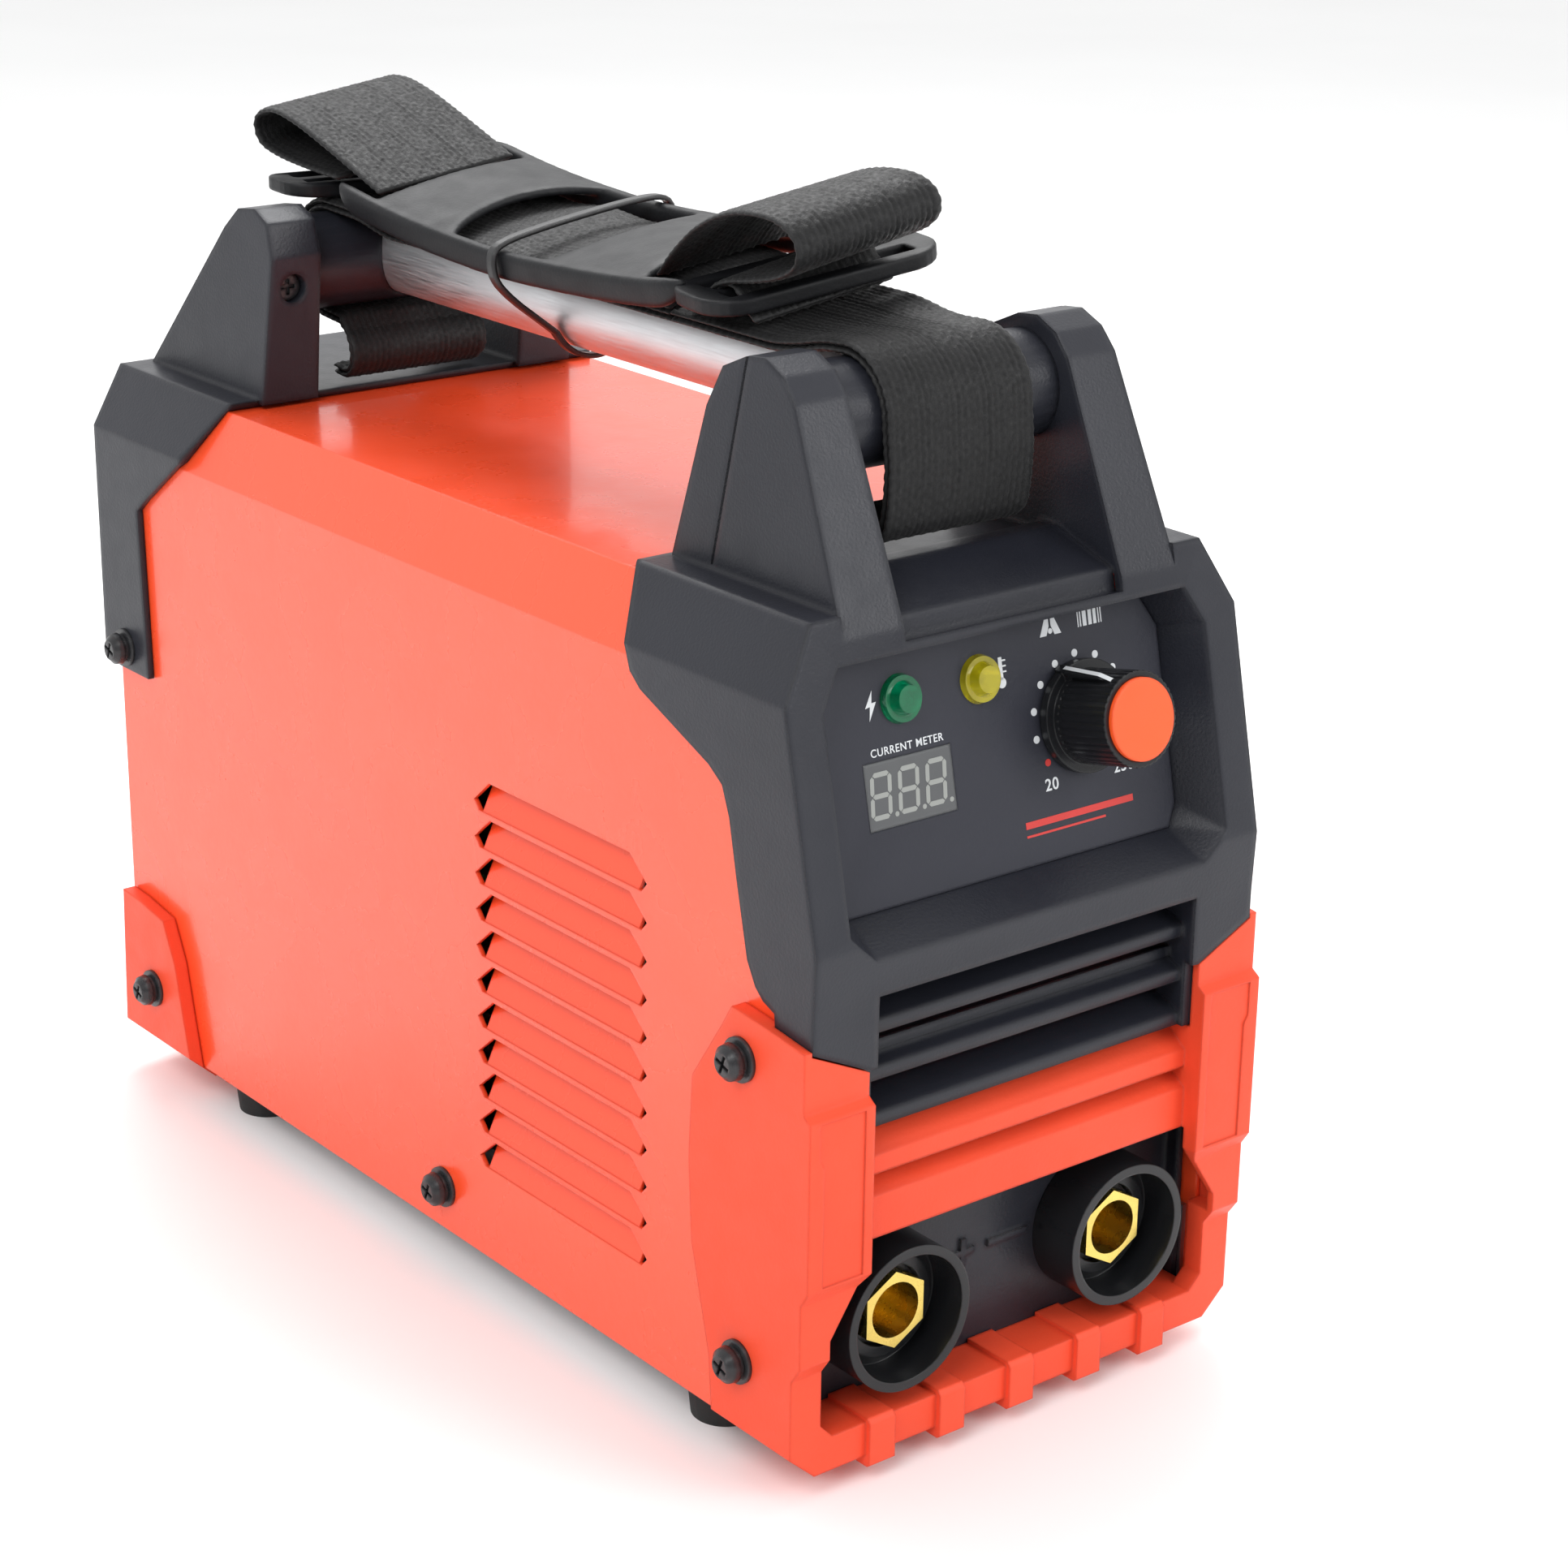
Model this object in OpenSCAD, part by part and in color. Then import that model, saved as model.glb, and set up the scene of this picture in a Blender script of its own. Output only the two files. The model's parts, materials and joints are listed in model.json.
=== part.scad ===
// Stick welding inverter: folded steel casing between two moulded bezels, red corner
// guards, a carrying handle with a shoulder strap, and the power unit inside.
// Millimetres, +Z up, +Y to the rear. Origin: centre of the footprint, on the floor.

/* [Body] */
// Outer width across the red guards
guard_w = 130; // [128:0.5:133]
// Outer width across the black bezels
bezel_w = 125.8; // [125:0.2:127]
// Outer width of the folded casing
case_w = 122; // [121:0.5:122]
// Height of the casing's top above the floor
case_top = 191; // [189:0.5:192]
// Length from the front guard's face to the rear bezel's edge
body_len = 295.6; // [290:0.2:300]
// Steel sheet thickness
sheet_t = 1.2; // [1:0.1:1.5]
// Ground clearance under the casing
foot_h = 9.6; // [9.4:0.1:10]

/* [Front face] */
// Lean of the control face from upright, degrees
face_lean = 12.5; // [11:0.5:14]
// Depth of the control panel behind the bezel's face
panel_recess = 10.4; // [9.5:0.1:11]
// Sideways position of the current dial
dial_x = 23.7; // [20:0.1:26]
// Length of the knob from the panel to its cap
knob_len = 19; // [16:0.5:22]
// Radius of the knob's barrel
knob_r = 10.4; // [9:0.1:11]

/* [Output sockets] */
// Distance of each socket from the middle
socket_x = 32.3; // [31:0.1:33]
// Height of the sockets above the floor
socket_z = 35.9; // [35:0.1:37]
// Outer radius of a socket's collar
collar_r = 17; // [16:0.1:17.5]
// Radius of the plug hole in the brass insert
plug_r = 6.5; // [6:0.1:6.6]

/* [Handle] */
// Outer radius of the handle's tube
tube_r = 10.5; // [10:0.5:11]
// Height of the tube's axis above the floor
tube_z = 225; // [224.5:0.5:225.5]
// Radius of the cross bars between the towers
bar_r = 12; // [11:0.5:12]
// Width of the strap's webbing
strap_w = 40; // [36:1:42]
// Thickness of one layer of webbing
strap_t = 1.6; // [1.4:0.1:1.8]

/* [Louvres] */
// Number of louvres on each side
louvre_n = 11; // [6:1:12]
// Height from one louvre to the next
louvre_step = 8.96; // [8.6:0.02:9.2]

/* [Fan] */
// Blade count of the cooling fan
fan_blades = 7; // [5:1:9]
// Half side of the fan's square frame
fan_half = 46; // [44:0.5:46]

/* [Hidden] */
$fn = 48;
lean_t = tan(face_lean);
cx = case_w / 2;
bx = bezel_w / 2;
gx = guard_w / 2;
// bezel face plane: y at the height of the bezel's top
face_top_y = 11.5;
bezel_top = case_top + 2.1;
// the row's origin sits half way along the whole machine
mid_y = 149.8;
tower_x0 = 30.4;
tower_x1 = 46.3;
tower_top = 240;
bar_y0 = 44;
bar_y1 = 249;
bar_z0 = 224.5;
bar_z1 = 224;
peg_r = 6;
case_y0 = 6;
case_step_y = 24;
case_step_z = 152;
case_y1 = body_len - 5;
plate_y = 13.5;
fan_z = 84;
rear_plate_y = body_len - 8;
clear = 0.3;

function face_y(z) = face_top_y + lean_t * (z - bezel_top);
function panel_y(z) = face_y(z) + panel_recess;

// ---- placing helpers ----

// local frame: x across, y to the rear from the front guard's face, z up
module place() {
    translate([0, -mid_y, 0])
        children();
}

// prism with a YZ outline, from x0 to x1
module yz(x0, x1, pts) {
    translate([x0, 0, 0])
        rotate([90, 0, 90])
            linear_extrude(height = x1 - x0)
                polygon(pts);
}

// prism with an XZ outline, from y0 to y1
module xz(y0, y1, pts) {
    translate([0, y1, 0])
        rotate([90, 0, 0])
            linear_extrude(height = y1 - y0)
                polygon(pts);
}

// an outline mirrored about x = 0, given its right half from top to bottom
function both(p) = concat(p, [for (i = [len(p) - 1 : -1 : 0]) [-p[i][0], p[i][1]]]);

// frame lying in the control panel: x across, y up the panel, z out towards the user
module on_panel(x, z, out = 0) {
    translate([x, panel_y(z), z])
        rotate([90 - face_lean, 0, 0])
            translate([0, 0, out])
                children();
}

module sides() {
    children();
    mirror([1, 0, 0])
        children();
}

// cylinder along Y
module rod_y(x, y0, y1, z, r) {
    translate([x, y0, z])
        rotate([-90, 0, 0])
            cylinder(r = r, h = y1 - y0);
}

// cylinder along X
module rod_x(x0, x1, y, z, r) {
    translate([x0, y, z])
        rotate([0, 90, 0])
            cylinder(r = r, h = x1 - x0);
}

module box(x0, x1, y0, y1, z0, z1) {
    translate([x0, y0, z0])
        cube([x1 - x0, y1 - y0, z1 - z0]);
}

// ---- casing ----

chamfer_x = 6.8;
chamfer_z = 16.3;

function case_outline(grow) = both([[cx - chamfer_x + grow * 0.6, case_top + grow],
    [cx + grow, case_top - chamfer_z + grow * 0.6], [cx + grow, foot_h - grow]]);

louvre_y0 = 56.7;
louvre_y1 = 123;
louvre_top = 130.5;
louvre_h = 7.6;
louvre_end = 5.4;
louvre_in = 3.6;
side_screw_y = 139.1;
side_screw_z = 20.8;
guard_screw_y = 18.5;
rear_guard_screw = [274.7, 27.2];
rear_bezel_screw = [284.4, 120.5];
guard_screw_z = [28.6, 99.3];
thread_r = 1.9;

// every screw that enters the body from its sides: [y, z, seat half-width]
side_screw_at = [[guard_screw_y, guard_screw_z[0], gx], [guard_screw_y, guard_screw_z[1], gx],
    [side_screw_y, side_screw_z, cx], [rear_guard_screw[0], rear_guard_screw[1], gx],
    [rear_bezel_screw[0], rear_bezel_screw[1], bx]];

module side_screw_holes(grow) {
    for (s = side_screw_at) {
        rod_x(-gx - 1, -cx + 9, s[0], s[1], thread_r + grow);
        rod_x(cx - 9, gx + 1, s[0], s[1], thread_r + grow);
    }
}

module louvre_cut(z) {
    top_in = louvre_end + 0.9;
    yz(cx - sheet_t - 0.5, cx + 1, [[louvre_y0 + top_in, z], [louvre_y1 - top_in, z],
        [louvre_y1, z - louvre_end], [louvre_y1 - 2, z - louvre_h], [louvre_y0 + 2, z - louvre_h],
        [louvre_y0, z - louvre_end]]);
}

module louvre_blade(z) {
    xz(louvre_y0 + 3.2, louvre_y1 - 3.2, [[cx - 0.05, z - louvre_h - 0.6],
        [cx - sheet_t, z - louvre_h - 0.6], [cx - louvre_in - 0.9, z - 0.8],
        [cx - louvre_in + 0.1, z - 0.8]]);
}

module casing_cover() color("OrangeRed") place() {
    difference() {
        xz(case_y0, case_y1, case_outline(0));
        xz(case_y0 - 1, case_y1 + 1, both([[cx - chamfer_x - sheet_t * 0.6, case_top - sheet_t],
            [cx - sheet_t, case_top - chamfer_z - sheet_t * 0.4], [cx - sheet_t, foot_h - 1]]));
        // the front is cut back above the guard, where the bezel takes over
        box(-gx, gx, case_y0 - 1, case_step_y, case_step_z, case_top + 5);
        side_screw_holes(0.05);
        sides()
            for (i = [0 : louvre_n - 1])
                louvre_cut(louvre_top - i * louvre_step);
    }
    sides()
        for (i = [0 : louvre_n - 1])
            louvre_blade(louvre_top - i * louvre_step);
}

foot_at = [[52, 43], [52, 243]];

module base_plate() color("Silver") place() {
    lip = 22.5;
    ix = cx - sheet_t - 0.1;
    difference() {
        union() {
            box(-ix, ix, case_y0 + 2.6, case_y1, foot_h, foot_h + sheet_t);
            sides()
                box(ix - sheet_t, ix, case_y0 + 2.6, rear_plate_y - 0.1, foot_h, foot_h + lip);
        }
        side_screw_holes(0.05);
        sides()
            for (f = foot_at)
                translate([f[0] - 3, f[1], 0])
                    cylinder(r = 2.05, h = foot_h + 5);
        // air slots
        for (i = [0 : 6])
            box(-30, 30, 90 + i * 14, 94 + i * 14, foot_h - 1, foot_h + 2);
    }
}

module feet() color("DimGray") place() {
    sides()
        for (f = foot_at)
            translate([f[0] - 3, f[1], 0]) {
                cylinder(r1 = 8, r2 = 9, h = foot_h);
                cylinder(r = 2, h = foot_h + sheet_t + 1.5);
            }
}

// ---- front bezel ----

bezel_wall = 2.4;
lip_z = 115.5;
shelf_z = 123;
low_z = 84;
grille_x = 45.5;
frame_x = 52;

window_front = [[48.6, 183.5], [53.6, 175.3], [53.6, 130], [47, shelf_z]];
window_back = [[43.8, 180.8], [48.6, 173], [48.6, 134], [46, 129]];

module front_outline(inset) {
    xz(-20, 90, both([[54.3 - inset * 0.6, bezel_top - inset], [bx - inset, 178 - inset * 0.6],
        [bx - inset, 106.9 + inset], [47.4, 99.4 + inset]]));
}

bezel_side = [[face_top_y, bezel_top], [-3, 127.6], [-2.4, 113.5], [-2.4, 98], [9, 98],
    [10.3, 111.8], [14.1, 113.3], [16.7, 115.6], [19.5, 120.7], [23.3, 137.3], [25.9, 149.9],
    [28.4, 156.3], [33, 159.5], [56.6, 169.3], [60.2, 172.4], [62.1, 177.8], [69.1, 192.5],
    [69.1, bezel_top]];

// prism between two outlines lying in slanted planes of the same lean
module slant_loft(front, back, out0, out1) {
    hull() {
        for (e = [[front, out0], [back, out1]])
            multmatrix([[1, 0, 0, 0], [0, 1, lean_t, 0], [0, 0, 1, 0]])
                translate([0, face_top_y - lean_t * bezel_top + e[1], 0])
                    xz(0, 0.02, both(e[0]));
    }
}

brow_z0 = 183.8;
brow_z1 = 189.8;
brow_back = 2.8;

function brow_y(z) = face_y(z) + brow_back;

function grown(p, g) = [for (q = p) [q[0] + g, q[1] + g * (q[1] > 150 ? 1 : -1)]];

module tower_solid() {
    intersection() {
        yz(tower_x0, tower_x1, [[10.6, 188.7], [29.8, 232.4], [33.9, 237.2], [40, tower_top],
            [46, tower_top - 0.6], [53.7, 236], [58.5, 227], [68, bezel_top - 1],
            [30, bezel_top - 1], [13.5, 188.7]]);
        xz(0, 90, [[tower_x0 - 0.1, 180], [tower_x0 - 0.1, 250], [tower_x1 - 3.4, 250],
            [tower_x1 - 2.4, 236], [tower_x1, bezel_top], [tower_x1, 180]]);
    }
}

module front_bezel() color("DimGray") place() {
    difference() {
        union() {
            difference() {
                intersection() {
                    yz(-bx, bx, bezel_side);
                    front_outline(0);
                }
                // room for the casing
                xz(case_step_y - 0.2, 90, case_outline(0.25));
                intersection() {
                    xz(case_y0 - 0.2, 90, case_outline(0.25));
                    box(-gx, gx, 0, 90, 60, case_step_z + 0.3);
                }
                // grille opening under the shelf's lip
                xz(-20, 5, both([[grille_x, lip_z], [grille_x, 60]]));
                // the middle of the face is set back between the towers
                yz(-tower_x0, tower_x0, [[-20, brow_z0], [brow_y(brow_z0), brow_z0],
                    [brow_y(brow_z1), brow_z1], [31.5, bezel_top + 2.2], [31.5, 210], [-20, 210]]);
                // each tower's front runs down into the face
                sides()
                    yz(tower_x0 - 0.1, tower_x1, [[-20, 188.6], [10.5, 188.6], [12.6, bezel_top],
                        [15, 200], [-20, 200]]);
                // hollow behind the face
                intersection() {
                    translate([0, bezel_wall, 0])
                        yz(-bx, bx, concat([for (i = [0 : 2]) bezel_side[i]],
                            [[-2.4, 90], [case_step_y, 90], [case_step_y, bezel_top]]));
                    front_outline(bezel_wall);
                    xz(-20, case_step_y, both([[bx, 210], [bx, 90]]));
                }
            }
            // walls of the control recess
            intersection() {
                slant_loft(grown(window_front, 2), grown(window_back, 1.6), 0, panel_recess + 2.5);
                front_outline(0.4);
                yz(-bx, bx, [[face_top_y, bezel_top], [-3, 127.6], [-2.4, 113.5], [40, 113.5],
                    [40, bezel_top]]);
            }
            // lower frame of the grille, behind the guard's flaps
            difference() {
                box(-frame_x, frame_x, -0.2, 14, low_z, lip_z + 7);
                box(-grille_x, grille_x, -1, 15, low_z - 1, lip_z);
            }
            // grille slats
            for (i = [0 : 2])
                yz(-grille_x - 0.5, grille_x + 0.5, [for (q = [[1.2, 0], [1.2, 2.6], [9.6, 6.2], [9.6, 3.6]])
                    [q[0], q[1] + low_z + 0.1 + i * 10.65]]);
            // brow over the panel
            yz(-tower_x0 - 0.2, tower_x0 + 0.2, [[brow_y(brow_z0), brow_z0], [brow_y(brow_z1), brow_z1],
                [31.5, bezel_top + 2.2], [36, bezel_top + 2.2], [38, bezel_top], [38, bezel_top - 1.6],
                [26, bezel_top - 1.6], [brow_y(brow_z1) + 2.4, brow_z1 - 2],
                [brow_y(brow_z0) + 2.4, brow_z0]]);
            // ears that take the guard's upper screws
            sides()
                box(frame_x - 1, cx - sheet_t - 0.3, 12, 23, 93, 106);
            sides()
                tower_solid();
        }
        // room for the casing under the towers
        xz(case_step_y - 0.2, 90, case_outline(0.25));
        slant_loft(window_front, window_back, -0.05, panel_recess);
        // the panel sits in the back of the recess
        slant_loft(grown(window_back, 0.05), grown(window_back, 0.05), panel_recess - 0.1, panel_recess + 4);
        // seats for the cross bar's pegs
        rod_x(-tower_x0 - 6.2, tower_x0 + 6.2, bar_y0, bar_z0, peg_r + 0.05);
        // seam down each tower's outer face
        sides()
            intersection() {
                yz(tower_x1 - 5, tower_x1 + 3, [[45.2, 241], [46, 241], [54.4, bezel_top + 1],
                    [53.6, bezel_top + 1]]);
                xz(0, 90, [[tower_x1 - 0.7, bezel_top], [tower_x1 - 3.3, tower_top + 1],
                    [tower_x1 + 3, tower_top + 1], [tower_x1 + 3, bezel_top]]);
            }
        side_screw_holes(0.05);
    }
}

// ---- control panel ----

module panel_plate(grow) {
    slant_loft(grown(window_back, grow), grown(window_back, grow), panel_recess, panel_recess + 2);
}

lamp_x = [-25.6, -3.7];
lamp_z = 170.6;
lamp_r = 4.4;
dial_z = 157.9;
pointer_at = 117.2;
flute_n = 40;
flute_r = 0.4;
display_box = [-37.3, -13.6, 145.2, 159.0];

module display_cut(grow, h) {
    on_panel((display_box[0] + display_box[1]) / 2, (display_box[2] + display_box[3]) / 2)
        translate([0, 0, -h / 2])
            linear_extrude(height = h)
                square([display_box[1] - display_box[0] + grow * 2,
                    (display_box[3] - display_box[2]) / cos(face_lean) + grow * 2], center = true);
}

module control_panel() color("Black") place() {
    difference() {
        panel_plate(-0.1);
        for (x = lamp_x)
            on_panel(x, lamp_z, -6)
                cylinder(r = lamp_r + 0.05, h = 10);
        display_cut(0.05, 10);
        on_panel(dial_x, dial_z, -6)
            cylinder(r = 3.6, h = 10);
    }
}

module lamp(x) {
    on_panel(x, lamp_z, 0) {
        cylinder(r1 = lamp_r + 0.9, r2 = lamp_r + 0.5, h = 1.4);
        translate([0, 0, 1.2])
            cylinder(r1 = 3.9, r2 = 2.9, h = 2.2);
        translate([0, 0, -9])
            cylinder(r = lamp_r, h = 9.2);
    }
}

module power_lamp() color("MediumSeaGreen") place()
    lamp(lamp_x[0]);

module fault_lamp() color("Gold") place()
    lamp(lamp_x[1]);

module display_window() color("LightGray") place()
    intersection() {
        display_cut(0, 10);
        panel_plate(2);
    }

module display_module() color("WhiteSmoke") place() {
    on_panel((display_box[0] + display_box[1]) / 2, (display_box[2] + display_box[3]) / 2, -8.3)
        linear_extrude(height = 6)
            square([22.4, 13], center = true);
}

module current_knob() color("Black") place()
    on_panel(dial_x, dial_z, 0)
        difference() {
            union() {
                translate([0, 0, 0.6])
                    cylinder(r = knob_r + 2, h = 2.2);
                translate([0, 0, 2.8])
                    cylinder(r = knob_r, h = knob_len - 3.4);
                // pointer fin, deepest at the panel
                rotate([0, 0, pointer_at])
                    rotate([90, 0, 0])
                        translate([0, 0, -1])
                            linear_extrude(height = 2)
                                polygon([[5, 0.7], [13, 0.7], [12.8, 2.8], [11.5, 13],
                                    [knob_r - 0.9, knob_len - 0.7], [5, knob_len - 0.7]]);
            }
            // grip flutes
            for (i = [0 : flute_n - 1])
                rotate([0, 0, i * 360 / flute_n + 4.7])
                    translate([knob_r + flute_r / 2, 0, 4])
                        cylinder(r = flute_r, h = knob_len);
            // seat of the coloured cap
            translate([0, 0, knob_len - 2.6])
                cylinder(r = knob_r - 1.4, h = 5);
            // bore for the spindle
            translate([0, 0, -1])
                cylinder(r = 3.05, h = knob_len - 4.4);
        }

module knob_cap() color("Orange") place()
    on_panel(dial_x, dial_z, knob_len - 2.6)
        cylinder(r = knob_r - 1.45, h = 3);

module pot_body() color("Silver") place()
    on_panel(dial_x, dial_z, 0) {
        translate([0, 0, -17])
            cylinder(r = 8, h = 7.4);
        translate([0, 0, -11])
            cylinder(r = 3.5, h = 10.7);
        translate([0, 0, -2])
            cylinder(r = 3, h = 14.4);
    }

module pot_nut() color("Silver") place()
    on_panel(dial_x, dial_z, -4.2)
        difference() {
            cylinder(r = 6, h = 2, $fn = 6);
            translate([0, 0, -1])
                cylinder(r = 3.52, h = 5);
        }

module control_board() color("DarkGreen") place()
    on_panel(0, 155, -9.6)
        difference() {
            linear_extrude(height = 1.2)
                polygon(both([[42, 22], [44, -22]]));
            for (x = lamp_x)
                translate([x, (lamp_z - 155) / cos(face_lean), -1])
                    cylinder(r = lamp_r + 0.3, h = 4);
            translate([dial_x, (dial_z - 155) / cos(face_lean), -1])
                cylinder(r = 3.6, h = 4);
        }

// ---- front guard ----

flap_x = 47.7;
guard_side = [[0.3, 31.5], [-2.4, 35.4], [-2.4, 50.5], [-4.6, 53.9], [-4.6, 92.5], [-2.4, 94],
    [-2.4, 97.2], [-2.4, 107.6], [9.2, 109], [16.5, 109.7], [21.8, 110.1], [25.7, 103.9],
    [35.2, 89.7], [36.3, 70], [35.2, 50.7], [28.8, 25.4], [27.8, 12.6], [25.2, 6.5], [0.3, 6.5]];
rib_x = [-40.5, -20.5, 0, 20.5, 40.5];

guard_in_x = cx + 0.3;
sill_z = 14.7;
// back of the flaps' thin skins, and front of the casing's room below them
skin_y = -0.5;
low_room_y = case_y0 - 0.3;
low_room_z = 35;

module guard_opening() {
    xz(-20, low_room_y + 0.1, both([[flap_x, 130], [flap_x, 53.6], [56.8, 39.8], [56.8, 18.2],
        [53.4, sill_z]]));
}

module front_guard() color("Tomato") place() {
    difference() {
        union() {
            difference() {
                intersection() {
                    yz(-gx, gx, guard_side);
                    xz(-20, 60, both([[gx, 120], [gx, 12.6], [58.3, 6.5]]));
                }
                // room for the casing behind the face
                xz(low_room_y, 60, both([[guard_in_x, 130], [guard_in_x, foot_h - 0.15]]));
                xz(skin_y, 60, both([[guard_in_x, 130], [guard_in_x, low_room_z]]));
                guard_opening();
                // flaps' tops follow the bezel's lower edge
                xz(-20, 10, both([[bx + 0.2, 130], [bx + 0.2, 106.5], [30, 90.7]]));
            }
            // returns behind the flaps' inner edges
            sides()
                box(flap_x, flap_x + 2.4, -0.6, 9, 58.6, low_z - 0.5);
            // upper and lower cross bars
            yz(-flap_x - 0.5, flap_x + 0.5, [[0.6, 73.3], [0.6, 77.6], [8.8, low_z - 0.6], [8.8, 79.2]]);
            yz(-flap_x - 0.5, flap_x + 0.5, [[0.2, 58.6], [0.2, 68.4], [6, 72], [6, 61]]);
            // sill that runs back to the socket plate
            yz(-56.3, 56.3, [[0.4, sill_z], [0.4, 12.8], [plate_y - 0.1, 12.8], [plate_y - 0.1, sill_z]]);
            // ribs wrapped round the sill
            for (x = rib_x)
                yz(x - 3.6, x + 3.6, [[plate_y - 0.3, sill_z + 1.1], [-0.2, sill_z + 1.1], [-1.2, sill_z],
                    [-1.2, 4.6], [-0.4, 4], [26, 4], [27, 6.6], [0.8, 6.6], [0.8, sill_z - 0.3],
                    [plate_y - 0.3, sill_z - 0.3]]);
        }
        // shallow panel pressed into each flap
        sides()
            xz(-5, -4.2, [[flap_x + 2.4, 92], [gx - 2.8, 92], [gx - 2.8, 84], [gx - 4, 82], [gx - 4, 54.4],
                [flap_x + 2.4, 54.4]]);
        side_screw_holes(0.4);
    }
}

// ---- output sockets ----

plate_half = 58.2;
mark_z = 38.2;
tray_top = low_z - 0.4;

module socket_plate() color("Black") place() {
    difference() {
        union() {
            box(-plate_half, plate_half, plate_y, plate_y + 2.5, foot_h + 1.6, tray_top);
            sides()
                box(plate_half - 1.6, plate_half, 9.3, plate_y + 1, foot_h + 1.6, tray_top);
            box(-plate_half, plate_half, 9.3, plate_y + 1, foot_h + 1.6, foot_h + 3);
            box(-plate_half, plate_half, 9.3, plate_y + 1, tray_top - 1.6, tray_top);
            // bosses for the guard's lower screws
            sides()
                rod_x(plate_half - 8, plate_half - 1, guard_screw_y, guard_screw_z[0], 4.4);
            // raised polarity marks between the sockets
            box(-9.6, -2.8, plate_y - 0.8, plate_y + 1, mark_z - 0.75, mark_z + 0.75);
            box(-6.9, -5.4, plate_y - 0.8, plate_y + 1, mark_z - 3.4, mark_z + 3.4);
            box(1.2, 13.2, plate_y - 0.8, plate_y + 1, mark_z - 0.75, mark_z + 0.75);
        }
        side_screw_holes(0.05);
        for (x = [-socket_x, socket_x])
            rod_y(x, plate_y - 2, plate_y + 4, socket_z, collar_r - 1.95);
    }
}

collar_floor_y = 10;

module socket_collars() color("Black") place()
    for (x = [-socket_x, socket_x]) {
        difference() {
            union() {
                rod_y(x, 0.2, plate_y - 0.05, socket_z, collar_r);
                rod_y(x, plate_y - 1, plate_y + 9, socket_z, collar_r - 2);
            }
            rod_y(x, -1, collar_floor_y, socket_z, collar_r - 2.2);
            rod_y(x, collar_floor_y - 1, plate_y + 12, socket_z, 8.05);
        }
        // low ring round the insert
        difference() {
            rod_y(x, collar_floor_y - 2.2, collar_floor_y + 0.5, socket_z, 12.2);
            rod_y(x, collar_floor_y - 3, collar_floor_y + 1, socket_z, 9.6);
        }
    }

insert_y = 5.2;

module socket_inserts() color("Goldenrod") place()
    for (x = [-socket_x, socket_x])
        difference() {
            union() {
                translate([x, insert_y, socket_z])
                    rotate([-90, 30, 0])
                        cylinder(r = 9.2, h = collar_floor_y - insert_y - 0.05, $fn = 6);
                rod_y(x, insert_y + 2, plate_y + 16, socket_z, 8);
            }
            rod_y(x, insert_y - 1, insert_y + 20, socket_z, plug_r);
        }

module socket_nuts() color("Goldenrod") place()
    for (x = [-socket_x, socket_x])
        difference() {
            translate([x, plate_y + 9.1, socket_z])
                rotate([-90, 30, 0])
                    cylinder(r = 12.5, h = 4, $fn = 6);
            rod_y(x, plate_y, plate_y + 20, socket_z, 8.05);
        }

// ---- rear bezel, rear guard and rear panel ----

rear_edge = body_len;
rear_side = [[238.8, bezel_top], [251.2, 176.8], [270, 163.2], [274.4, 159.6], [272.8, 114.6],
    [rear_edge, 114.6], [rear_edge, bezel_top]];

module rear_tower() {
    intersection() {
        yz(tower_x0, tower_x1, [[237, bezel_top - 1], [233.5, 229], [236, 237.2], [242, tower_top],
            [250, tower_top - 1], [256.5, 233.5], [294, bezel_top - 1]]);
        xz(220, 300, [[tower_x0 - 0.1, 180], [tower_x0 - 0.1, 250], [tower_x1 - 3.4, 250],
            [tower_x1 - 2.4, 236], [tower_x1, bezel_top], [tower_x1, 180]]);
    }
}

module rear_bezel() color("DimGray") place() {
    difference() {
        union() {
            difference() {
                intersection() {
                    yz(-bx, bx, rear_side);
                    xz(220, 300, both([[54.3, bezel_top], [bx, 178], [bx, 100]]));
                }
                xz(220, case_y1 + 0.2, case_outline(0.25));
                // open back
                xz(280, 300, both([[47, 185], [55, 175], [55, 100]]));
            }
            sides()
                rear_tower();
        }
        rod_x(-tower_x0 - 6.2, tower_x0 + 6.2, bar_y1, bar_z1, peg_r + 0.05);
        // screw recesses in the towers' front faces
        sides()
            rod_y(38, 230, 240, 221, 3.6);
        sides()
            rod_y(38, 239, 247, 221, 1.55);
        side_screw_holes(0.05);
    }
}

module rear_guard() color("Tomato") place() {
    difference() {
        intersection() {
            yz(-gx, gx, [[291.2, 12.8], [289.4, 51.2], [281, 50.6], [268, 48.6], [262.6, 37.6],
                [259.5, 24], [255.3, 6.5], [289, 6.5]]);
            xz(240, 300, both([[gx, 60], [gx, 12.6], [58.3, 6.5]]));
        }
        xz(240, case_y1 - 5.1, both([[guard_in_x, 130], [guard_in_x, foot_h - 0.15]]));
        xz(case_y1 - 6, case_y1 + 0.3, both([[guard_in_x, 130], [guard_in_x, foot_h - 0.15]]));
        xz(280, 300, both([[44, 130], [44, 20]]));
        side_screw_holes(0.4);
    }
}

gland_at = [-34, 150];
switch_at = [26, 152];
stud_at = [34, 29];
fan_bolt = 41;

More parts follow.
